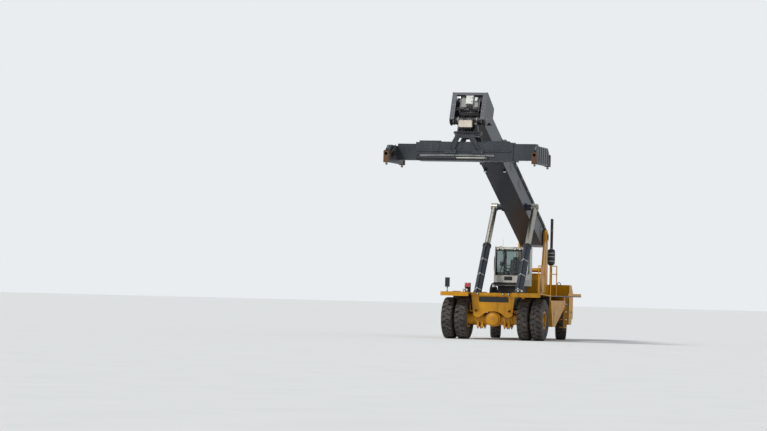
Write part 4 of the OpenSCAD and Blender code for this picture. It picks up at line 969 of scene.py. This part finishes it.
# %% [markdown]
# ## Lift cylinders and boom
# Each lift cylinder ends in a gland: a threaded collar with pin holes, a wiper
# ring and grease. Steel pipe feeds its lower port and is clamped to the tube.
# The boom is a welded box: weld beads run along its edges, bolted plates at the
# mouth hold the wear pads, and rigid oil pipes are clamped along its side. These
# pipes never bend, so they are curves with few points, not hanging hoses.
# %% Lift cylinders
for side, word in ((1, "left"), (-1, "right")):
    here = ram(side)
    on_tube = on("cylinder_tubes", here)
    on_tube("gland_" + word, dark_enamel,
         [(turned, (0, 0, 3.02), (0, 0, 3.118),
          [(.165, 0), (.178, 0), (.178, .35), (.174, .4), (.174, .6), (.178, .65), (.178, 1), (.165, 1)], 40)] +
         [(bolts, (0, 0, 3.118), (0, 0, 1), .15, 12, .011, .012)], .002)
    on_tube("wiper_ring_" + word, window_rubber,
         [(turned, (0, 0, 3.119), (0, 0, 3.15), [(.1215, 0), (.135, 0), (.132, .7), (.1215, 1)], 40)], .001)
    pipes("lift_pipe_" + word, "cylinder_tubes", dark_enamel,
          [[(.16, 0, 2.92), (.21, 0, 2.92), (.215, 0, 2.86), (.2, 0, 2.7), (.195, 0, 1.6), (.2, 0, .5),
           (.205, 0, .34), (.19, 0, .28)]], .017, here)
    on_tube("lift_ports_" + word, navy_enamel_with_painted_shade,
         [(block, (.145, -.05, 2.87), (.19, .05, 2.97)), (block, (.145, -.06, .22), (.20, .06, .36))], .006)
    on_tube("lift_pipe_clamps_" + word, galvanised,
         [(block, (.15, -.03, z), (.222, .03, z + .035)) for z in (.75, 1.5, 2.25)] +
         [(turned, (0, 0, z), (0, 0, z + .035), ring(.1595, .165), 40) for z in (.75, 1.5, 2.25)], .002)
    on_truck("foot_pin_caps_" + word, worn_steel,
         [(turned, (0, side * 1.0175, foot_z), (0, side * 1.034, foot_z), solid((.085, 0), (.085, .7), (.07, 1))),
          (bolts, (0, side * 1.03, foot_z), (0, side, 0), .055, 3, .012, .012)], .002)
print("lift cylinders dressed")

# %% Boom
on_boom = on("boom", boom)
cover_x = (.7, 2.2, 5.2, 6.9)
on_boom("boom_covers", navy_enamel_with_painted_shade,
     [(slab, [(x - .22, -.12), (x + .22, -.12), (x + .22, .12), (x - .22, .12)], "y", side * .474 - .0035,
      side * .474 + .0035)
      for x in cover_x for side in both], .003)
on_boom("boom_cover_bolts", worn_steel,
     [(bar, (x + a, side * .477, b), (x + a, side * .487, b), .011, 6) for x in cover_x for side in both
      for a in (-.19, 0, .19) for b in (-.095, .095)], .001)
pipes("boom_oil_pipes", "boom", dark_enamel,
      [[(-.2, .495, .30 + k * .05), (.1, .497, .30 + k * .05), (4.0, .497, .30 + k * .05),
       (7.8, .497, .30 + k * .05), (7.98, .495, .30 + k * .05)] for k in range(3)], .014, boom)
on_boom("boom_pipe_clamps", galvanised,
     [(block, (x - .02, .4705, .27), (x + .02, .516, .43)) for x in (.3, 1.5, 2.7, 3.9, 5.1, 6.3, 7.5)], .003)
on_boom("mouth_pad_plates", dark_enamel,
     [(block, (8.301, y - .13, z - .035), (8.312, y + .13, z + .035)) for y in (-.31, .31)
      for z in (-.485, .485)], .002)
on_boom("mouth_bolts", worn_steel,
     [(bar, (8.311, y, z), (8.322, y, z), .012, 6) for y in (-.40, -.22, .22, .40) for z in (-.485, .485)], .001)
on_boom("boom_lamp_housings", black_plastic,
     [(turned, (7.6, side * .40, -.501), (7.6, side * .40, -.58),
      [(.001, 0), (.05, 0), (.07, .5), (.07, 1), (.058, 1), (.056, .9), (.001, .9)], 28) for side in both], .002)
on_boom("boom_lamp_lenses", clear_lens,
     [(bar, (7.6, side * .40, -.574), (7.6, side * .40, -.583), .056, 28, .05) for side in both], .002)
on_boom("boom_lifting_eyes", navy_enamel_with_painted_shade,
     [(slab, [(x - .09, .499), (x + .09, .499), (x + .05, .60), (x - .05, .60)], "y", side * .40 - .012,
      side * .40 + .012) for x in (.6, 7.2) for side in both], .004)
print("boom dressed with", 2 * len(cover_x), "covers")


# %% [markdown]
# ## Hoses
# An oil hose is a fixed length of stiff rubber tube. It leaves its fitting
# straight, bends no tighter than about four diameters, and sags where nothing
# holds it. Each one here is one open line of 33 points: a Bezier curve between
# two fittings, let down by its own weight in the middle. A hose that crosses a
# moving joint would tear when the machine moves, so each stays on one body.
# %% Hose helper
tightest, points = {}, 33


def hose(name, body, start, way, end, way_in, diameter=.03, place=truck, sag=.12, stretch=.45,
     material=hose_rubber):
    start, end = place @ Vector(start), place @ Vector(end)
    turn = place.to_3x3()
    way, way_in = turn @ Vector(way).normalized(), turn @ Vector(way_in).normalized()
    reach = (end - start).length
    pull = max(reach * stretch, 5 * diameter)
    knots = [start, start + way * pull, end + way_in * pull, end]
    line = []
    for k in range(points):
        t = k / (points - 1)
        weights = ((1 - t) ** 3, 3 * t * (1 - t) ** 2, 3 * t * t * (1 - t), t ** 3)
        spot = sum((knot * w for knot, w in zip(knots, weights)), Vector())
        line.append(spot - Vector((0, 0, sag * reach * math.sin(math.pi * t) ** 2)))
    data = round_curve(name, diameter / 2)
    spline = data.splines.new("POLY")
    spline.points.add(len(line) - 1)
    for point, spot in zip(spline.points, line):
        point.co = (*spot, 1)
    spline.use_smooth = True
    obj = settle(name, data, body, material)
    bends = [(b - a).angle(c - b) / max((c - a).length / 2, 1e-6) for a, b, c in zip(line, line[1:], line[2:])]
    tightest[name] = 1 / max(max(bends), 1e-6) / diameter
    nut = diameter * .75
    ends = ((line[0], way), (line[-1], way_in))
    sleeve = [(diameter * share, at_end) for share, at_end in ((.5, 0), (.62, 0), (.58, 1), (.5, 1))]
    part(name + "_fittings", body, worn_steel,
         [(bar, spot - out * .012, spot + out * .02, nut, 6) for spot, out in ends] +
         [(turned, spot + out * .02, spot + out * .055, sleeve, 16) for spot, out in ends], Matrix(), .001)


def tell_bends(*words):
    bends = {name: round(v, 1) for name, v in tightest.items() if any(word in name for word in words)}
    print("tightest bends in diameters:", bends)


print("hose helper ready")


# %% [markdown]
# ## The head of the boom
# The end of the inner boom carries the electric and oil gear of the spreader: a
# grey back plate with a white cabinet and a small white box on it, cable glands
# below, and a crowd of hoses that hang in front of the nose pin. Cabinet doors
# are separate raised panels with a gap round them, since that dark line is what
# the eye reads as a door.
# %% Cabinets
grey_enamel = machine_paint("grey_enamel", "#8f8d88", "#7b7974", dusty=.2, chip="#4b4640", chipped=.4)
slots[grey_enamel] = "pale_paint"
on_head = on("boom_slide", nose)
plate_x, box_x, small_x = .1007, .2107, .1707
sheet_spots = [(-.33, -.143, .54, 1.04), (.143, .197, .54, 1.04), (.303, .33, .54, 1.04), (-.143, .143, .54, .627),
               (-.143, .143, .983, 1.04), (.197, .303, .54, .777), (.197, .303, .933, 1.04)]
on_head("gear_back_sheets", grey_enamel,
     [(block, (plate_x, y0, z0), (plate_x + .003, y1, z1)) for y0, y1, z0, z1 in sheet_spots], .001)
on_head("cabinet_doors", pale_enamel,
     [(block, (box_x, -.128, .642), (box_x + .008, .128, .968)),
      (block, (small_x, .206, .786), (small_x + .006, .294, .924))], .004)
on_head("cabinet_roof", pale_enamel, [(block, (.085, -.15, .981), (box_x + .022, .15, .989))], .002)
on_head("cabinet_latches", black_plastic,
     [(block, (box_x + .0075, .09, z), (box_x + .02, .112, z + .045)) for z in (.70, .86)] +
     [(bar, (box_x + .004, -.134, z), (box_x + .004, -.134, z + .05), .006, 10) for z in (.68, .88)] +
     [(bar, (small_x + .005, .28, .855), (small_x + .014, .28, .855), .009, 12)], .001)
glands = [(box_x - .055, -.105 + .042 * k, .63) for k in range(6)]
on_head("cabinet_glands", black_plastic,
     [(bar, (x, y, z + .002), (x, y, z - .02), .016, 6) for x, y, z in glands] +
     [(bar, (x, y, z - .018), (x, y, z - .032), .012, 16, .009) for x, y, z in glands], .001)
on_head("gear_bolts", worn_steel,
     [(bar, (plate_x + .002, y, z), (plate_x + .012, y, z), .011, 6) for y in (-.30, .31)
      for z in (.58, .72, .86, 1.0)], .001)
on_head("bulkhead_blocks", dark_enamel,
     [(block, (.0805, -.34, .35), (.105, .34, .41)), (block, (-.40, .3935, .85), (-.14, .416, .95)),
      (block, (-.02, .625, .30), (.12, .6495, .62)), (block, (-.02, -.6495, .30), (.08, -.625, .62))], .005)
on_head("junction_boxes", grey_enamel,
     [(block, (.0, .55, .78), (.10, .6495, .98)), (block, (.0, -.6495, .74), (.10, -.56, .90))], .01)
on_head("head_frame_bolts", worn_steel,
     [(bar, (.229, side * y, z), (.24, side * y, z), .012, 6) for side in both for y in (.545, .62)
      for z in (.02, .30, .58, .86)], .001)
on_head("pin_keepers", worn_steel,
     [(turned, (0, side * .7005, 0), (0, side * .725, 0), solid((.13, 0), (.125, .7), (.10, 1))) for side in both] +
     [(bolts, (0, side * .72, 0), (0, side, 0), .085, 4, .013, .014) for side in both], .002)
on_head("head_roof_cover", navy_enamel_with_painted_shade,
     [(slab, [(-.55, 1.121), (.10, 1.121), (.10, 1.127), (-.55, 1.127)], "y", -.44, .44),
      (slab, [(-.30, 1.127), (-.25, 1.127), (-.25, 1.15), (-.30, 1.15)], "y", -.40, .40)], .003)
on_head("head_lamps", black_plastic,
     [(block, (-.42, y - .06, 1.128), (-.34, y + .06, 1.22)) for y in (-.55, .55)] +
     [(block, (-.60, y - .05, 1.08), (-.30, y + .05, 1.129)) for y in (-.60, .60)], .01)
on_head("head_lamp_lenses", clear_lens,
     [(block, (-.341, y - .05, 1.138), (-.335, y + .05, 1.21)) for y in (-.55, .55)], .003)
print(len(glands), "cable glands under the cabinet")

# %% Head hoses
cross = ((-.10, .20), (-.05, .27), (.0, -.29), (.05, -.22), (.10, -.14))
rows = [  # name, start, way, end, way in, diameter, sag
    ("gear_hose_%d" % k, (box_x - .055, y0, .602), (.7, (y1 - y0) * 2, -1), (.106, y1, .38),
     (1, (y0 - y1) * 1.5, .1), .03, .03)
    for k, (y0, y1) in enumerate(cross)]
rows += [("loop_hose_%d" % (k + 3 * (side < 0)), (.106, side * (.31 - .07 * k), .38), (1, side * .3, .1),
          (.08 - .03 * k, side * .624, .36 + .10 * k), (1, -side * .5, -.1), .034, .05) for side in (1, -1)
          for k in range(3)]
rows += [("post_hose_%d" % (side > 0), (.06, side * .624, .62), (1, -side * .25, .2), (.03, side * .624, .96),
     (1, -side * .25, -.2), .034, .02)
         for side in (1, -1)]
for name, start, way, end, way_in, diameter, sag in rows:
    hose(name, "boom_slide", start, way, end, way_in, diameter, nose, sag)
worn_sleeve = dull_black("worn_hose_sleeve", "#5e5c57", "#8b8880", .6, 8, .7, .3)
slots[worn_sleeve] = "black_plastic"
for k in range(3):
    hose("big_loop_%d" % k, "boom_slide", (-.32 + .07 * k, .418, .90), (1, .12, .0),
         (.02 + .03 * k, .624, .36 + .05 * k), (1, -.12, .0), .03, nose, .0, .62, worn_sleeve)
tell_bends("gear", "loop", "post")


# %% [markdown]
# ## The yoke
# The yoke hangs from the nose pin. Its valve block has a cream cover with bolted
# edges, black coils below it and hoses that run over the pin barrel and down to
# the two slewing motors. The ring under it is held by a circle of bolts.
# %% Yoke
on_yoke = on("yoke_body", hook)
on_yoke("valve_cover", cream_enamel,
     [(block, (.4805, -.262, -.275), (.489, .262, -.005)), (block, (.35, -.262, -.0195), (.4805, .262, -.011)),
      (block, (.36, -.262, -.275), (.4805, -.2505, -.0195)),
      (block, (.36, .2505, -.275), (.4805, .262, -.0195))], .003)
on_yoke("valve_cover_bolts", worn_steel,
     [(bar, (.488, y, z), (.497, y, z), .011, 6) for y in (-.235, -.08, .08, .235) for z in (-.255, -.03)], .001)
on_yoke("valve_coils", black_plastic,
     [(bar, (x, -.2 + .08 * k, -.299), (x, -.2 + .08 * k, -.36), .026, 16, .024) for k in range(6)
      for x in (.39, .45)] +
     [(bar, (x, -.2 + .08 * k, -.36), (x, -.2 + .08 * k, -.372), .011, 6) for k in range(6)
      for x in (.39, .45)], .002)
on_yoke("slew_ring_bolts", worn_steel,
     [(bolts, (0, 0, -.4399), (0, 0, 1), .525, 28, .017, .018)], .001)
on_yoke("yoke_pin_collars", worn_steel,
     [(turned, (0, side * y, 0), (0, side * (y + .03), 0), ring(.149, .172)) for side in both
      for y in (.36, .54)], .003)
on_yoke("yoke_side_bolts", worn_steel,
     [(bar, (x, side * .35, z), (x, side * .362, z), .014, 6) for side in both for x in (-.12, .12)
      for z in (-.25, -.36)], .001)
motors = [(.45 * math.cos(math.radians(a)), .45 * math.sin(math.radians(a))) for a in (55, 235)]
on_yoke("slew_motor_caps", galvanised,
     [(turned, (x, y, -.1495), (x, y, -.12), solid((.055, 0), (.05, 1))) for x, y in motors] +
     [(bolts, (x, y, -.1495), (0, 0, 1), .058, 6, .008, .012) for x, y in motors], .002)
mx, my = motors[0]
for k, y in enumerate((-.20, -.13, .12, .19)):
    hose("barrel_hose_%d" % k, "yoke_body", (.40, y, -.008), (-.25, 0, 1), (-.135, y, -.12), (-.6, 0, .55),
         .026, hook, .0, .62)
hose("motor_hose_left", "yoke_body", (.44, .263, -.10), (.3, 1, .9), (mx + .03, my, -.126), (.5, .6, 1),
     .022, hook, .0, .6)
hose("motor_hose_right", "yoke_body", (.42, -.263, -.10), (.2, -1, .3), (.16, -.351, -.16), (.1, -1, .3),
     .022, hook, .1, .6)
tell_bends("barrel", "motor")


# %% [markdown]
# ## The spreader
# Long cylinders push the two arms out of the girders: a dark tube, a bright rod
# and a bracket at each end. The walkway on top is open tread plate with raised
# edges. The corner boxes rub on steel all day, so their paint is gone and the
# steel has rusted brown. Those faces of the CAD node take rusted steel as their
# second finish.
# %% Girders and carriage
on_girders, on_carriage = on("girder_pair", landing), on("carriage_body", landing)
tube_x, tube_z, pipe_x = .585, .23, .545
tube_start, tube_end, rod_end = -1.86, -.30, .86
for way, word in ((1, "front"), (-1, "rear")):
    on_girders("reach_tube_" + word, dark_enamel,
         [(turned, (way * tube_x, way * tube_start, tube_z), (way * tube_x, way * tube_end, tube_z),
          [(.001, 0), (.048, 0), (.048, .96), (.054, .965), (.054, 1), (.03, 1)], 28)], .002)
    on_girders("reach_rod_" + word, hard_chrome,
         [(bar, (way * tube_x, way * (tube_end - .02), tube_z),
          (way * tube_x, way * rod_end, tube_z), .031, 24)], 0)
    on_girders("reach_brackets_" + word, slate_enamel,
         [(slab, [(way * .5195, tube_z - .09), (way * .64, tube_z - .045), (way * .64, tube_z + .045),
          (way * .5195, tube_z + .12)], "y", way * y - .012, way * y + .012)
          for y in (tube_start + .05, tube_start - .02, tube_end - .06, rod_end - .01, rod_end + .06)], .003)
    on_girders("reach_pins_" + word, worn_steel,
         [(bar, (way * tube_x, way * (tube_start - .04), tube_z),
          (way * tube_x, way * (tube_start + .01), tube_z), .03, 16),
          (bar, (way * tube_x, way * (rod_end - .02), tube_z), (way * tube_x, way * (rod_end + .08), tube_z),
           .038, 16)], .002)
    pipes("reach_pipe_" + word, "girder_pair", galvanised,
          [[(way * pipe_x, way * (tube_start + .1), tube_z + .07 + d),
           (way * pipe_x, way * (tube_start + .4), tube_z + .08 + d), (way * pipe_x, way * .2, tube_z + .08 + d),
           (way * pipe_x, way * 1.2, tube_z + .08 + d)] for d in (0, .035)], .01, landing)
cover_y, tread_count, tread_step, walk_z = (-1.45, -.95, .95, 1.45), 14, .06, .8601
on_girders("girder_end_collars", slate_enamel,
     [(block, (-.525, way * y - .02, .135), (-.5205, way * y + .02, .828)) for way in (1, -1) for y in (1.9, 1.2)] +
     [(block, (.5205, way * y - .02, .135), (.525, way * y + .02, .47)) for way in (1, -1)
      for y in (1.9, 1.2)], .002)
on_girders("girder_covers", slate_enamel,
     [(block, (way * .5225 - .002, y - .16, .58), (way * .5225 + .002, y + .16, .77)) for way in (1, -1)
      for y in cover_y], .003)
on_girders("girder_cover_bolts", worn_steel,
     [(bar, (way * .524, y + a, z), (way * .5275, y + a, z), .011, 6) for way in (1, -1) for y in cover_y
      for a in (-.135, .135) for z in (.605, .745)], .001)
on_girders("walkway_treads", galvanised,
     [(block, (-.49, -1.78 + tread_step * k, walk_z), (.49, -1.755 + tread_step * k, .866))
      for k in range(tread_count)] +
     [(block, (-.49, 1.78 - tread_step * k, walk_z), (.49, 1.755 - tread_step * k, .866))
      for k in range(tread_count)], 0)
on_girders("walkway_edges", slate_enamel,
     [(block, (way * .497 - .004, y0, walk_z), (way * .497 + .004, y1, .895)) for way in (1, -1)
      for y0, y1 in ((-1.79, -.92), (.92, 1.79))], .002)
on_girders("pad_bolts", worn_steel,
     [(bar, (way * x, way * 1.8 + y, .8299), (way * x, way * 1.8 + y, .842), .013, 6) for way in (1, -1)
      for x in (.2, .32, .44) for y in (-.045, .045) if way * y > 0], .001)
on_carriage("carriage_bolts", worn_steel,
     [(bar, (x, y, 1.1299), (x, y, 1.145), .018, 6) for x in (-.55, .55) for y in (-.31, -.1, .1, .31)] +
     [(bar, (way * .58, y, z), (way * .592, y, z), .014, 6) for way in (1, -1) for y in (-.70, -.38, .38, .70)
      for z in (.43, .53)], .001)
on_carriage("carriage_gussets", slate_enamel,
     [(block, (way * .588 - .007, y - .16, .575), (way * .588 + .007, y + .16, .592)) for way in (1, -1)
      for y in (-.50, .50)], .002)
on_carriage("slew_grease_plate", dark_enamel,
     [(block, (way * .54 - .05, -.12, 1.1301), (way * .54 + .05, .12, 1.16)) for way in (1, -1)], .006)
for k, (y, way) in enumerate(((-.16, 1), (.16, 1), (-.16, -1), (.16, -1))):
    hose("carriage_hose_%d" % k, "carriage_body", (way * .575, y, 1.10), (way, y, .1), (way * .582, y * 3.1, .545),
         (way, y, .2), .03, landing, .02, .45)
print("spreader cylinders are %.2f m long, rods %.2f m out" % (tube_end - tube_start, rod_end - tube_end))

# %% Arms and corner boxes
corner_x, corner_y, box_inner_x, box_top = 1.1295, 2.9265, 1.03, .44
for way, arm, word in ((1, "left_arm", "left"), (-1, "right_arm", "right")):
    on_arm = on(arm, landing)
    locks, cylinders = [], []
    for x in (-corner_x, corner_x):
        out = 1 if x > 0 else -1
        locks += [(block, (x - .08, way * corner_y - .08, .4501), (x + .08, way * corner_y + .08, .475)),
                  (turned, (x, way * corner_y, .4745), (x, way * corner_y, .56),
                   solid((.05, 0), (.05, .5), (.034, .55), (.03, 1)), 24),
                  (slab, [(x - .02, way * corner_y - .02), (x + .02, way * corner_y - .02),
                   (x - out * .16, way * (corner_y - .02) + .02), (x - out * .17, way * (corner_y - .02) - .01)],
                   "z", .52, .538)]
        cylinders.append((turned, (x - out * .18, way * (corner_y - .04), .53),
             (x - out * .48, way * (corner_y - .02), .63),
             solid((.016, 0), (.016, .35), (.032, .36), (.032, 1)), 20))
    end = nodes["end_" + word]
    end.data.materials.append(rusted_steel)
    for face in end.data.polygons:
        x, y, z = landing.inverted() @ end.matrix_world @ face.center
        if abs(x) > box_inner_x and z < box_top:
            face.material_index = 1
    on_arm("lock_levers_" + word, dark_enamel, locks, .003)
    on_arm("lock_cylinders_" + word, dark_enamel, cylinders, .001)
    pipes("hand_loops_" + word, arm, galvanised,
          [[(s * 1.0, way * 2.93, .455), (s * 1.0, way * 2.93, .57), (s * .985, way * 2.93, .61),
           (s * .9, way * 2.93, .672), (s * .86, way * 2.93, .68), (s * .8, way * 2.93, .65)]
           for s in (-1, 1)], .01, landing)
    on_arm("end_stiffeners_" + word, slate_enamel,
         [(block, (x - .009, way * 3.0042, .05), (x + .009, way * 3.022, .66))
          for x in (-.72, -.36, 0, .36, .72)], .002)
    on_arm("end_valve_box_" + word, dark_enamel,
         [(block, (-way * .60 - .12, way * 2.715, .25), (-way * .60 + .12, way * 2.838, .48)),
          (block, (-way * .60 - .06, way * 2.69, .29), (-way * .60 + .06, way * 2.716, .44))], .008)
    for k, x in enumerate((-.05, .0, .05)):
        hose("arm_hose_%s_%d" % (word, k), arm, (-way * (.60 + x), way * 2.812, .481), (-way * .2, -way * .2, 1),
             (-way * (1.0 - x), way * 2.836, .30 + .03 * k), (-way * .3, -way, .8), .022, landing, .0, .9)
tell_bends("arm_", "carriage")


# %% [markdown]
# ## Wheels
# Each rim is clamped by a circle of nuts on plain washers. The front wheels carry
# the load, so they have twenty nuts, the steered ones fourteen. A valve stem
# bends out past the nuts, where a hand reaches it, and a smaller ring of screws
# closes the planet gear cover in the middle.
# %% Wheel nuts and valves
rim_rows = [  # wheel, body, joint, side, face of the disc, circle, nuts, cover face and circle
    ("front_left", "wheel_fl", "front_left_spin", 1, .25, .246, 20, .3995, .112),
    ("front_right", "wheel_fr", "front_right_spin", -1, .25, .246, 20, .3995, .112),
    ("rear_left", "wheel_rl", "rear_left_spin", 1, .066, .215, 14, .1295, .0),
    ("rear_right", "wheel_rr", "rear_right_spin", -1, .066, .215, 14, .1295, .0)]
for word, body, joint, side, face, circle, count, cover, screws in rim_rows:
    axis = Vector(joints[joint]["axis"])
    wheel = Matrix.Translation(at[joint]) @ Matrix.Rotation(math.atan2(-axis.x, axis.y), 4, "Z")
    on_wheel = on(body, wheel)
    on_wheel("rim_washers_" + word, worn_steel,
         [(bolts, (0, side * (face - .0005), 0), (0, side, 0), circle, count, .031, .007)], .001)
    on_wheel("rim_nuts_" + word, worn_steel,
         [(bolts, (0, side * (face + .006), 0), (0, side, 0), circle, count, .022, .026),
          (bolts, (0, side * (face + .03), 0), (0, side, 0), circle, count, .011, .014)] +
         ([(bolts, (0, side * cover, 0), (0, side, 0), screws, 8, .013, .012)] if screws else []), .002)
    pipes("valve_stem_" + word, body, galvanised,
          [[(.02, side * (face - .01), circle + .035), (.02, side * (face + .03), circle + .035),
           (.02, side * (face + .05), circle + .02), (.02, side * (face + .075), circle - .02)]], .007, wheel)
print("nuts on the wheels:", sum(row[6] for row in rim_rows))


# %% [markdown]
# ## Lift valve on the deck
# Oil for the lift cylinders passes a valve block on the deck in front of the cab.
# Stiff hoses stand up from it in tight arches and dive between the rails. They
# are 30 mm thick and stay on the frame's side of the cylinders' foot pins.
# %% Lift valve and its hoses
on_truck("lift_valve", dark_enamel,
     [(block, (-1.80, -.60, deck_top - .0001), (-1.56, -.32, 2.02)),
      (block, (-1.76, -.57, 2.0195), (-1.60, -.35, 2.06))], .006)
on_truck("lift_valve_coils", black_plastic,
     [(bar, (-1.64, -.555 + .06 * k, 2.0595), (-1.64, -.555 + .06 * k, 2.14), .024, 16, .022) for k in range(4)] +
     [(bar, (-1.72, -.555 + .06 * k, 2.0595), (-1.72, -.555 + .06 * k, 2.12), .024, 16, .022)
      for k in range(4)], .002)
on_truck("lift_valve_bolts", worn_steel,
     [(bar, (x, y, 2.0195), (x, y, 2.034), .011, 6) for x in (-1.785, -1.575) for y in (-.585, -.335)], .001)
on_truck("lift_bulkheads", dark_enamel,
     [(block, (-1.552, -.61, deck_top - .0001), (-1.512, -.33, deck_top + .008)),
      (block, (-1.23, -.478, 1.7899), (-.86, -.442, 1.798))], .002)
for k in range(5):
    hose("lift_hose_%d" % k, "chassis", (-1.532, -.59 + .06 * k, 1.84), (-.15, 0, 1),
         (-1.21 + .08 * k, -.46, 1.80), (.25, 0, 1), .03, truck, .0, 1.45 - .12 * k)
tell_bends("lift_hose")
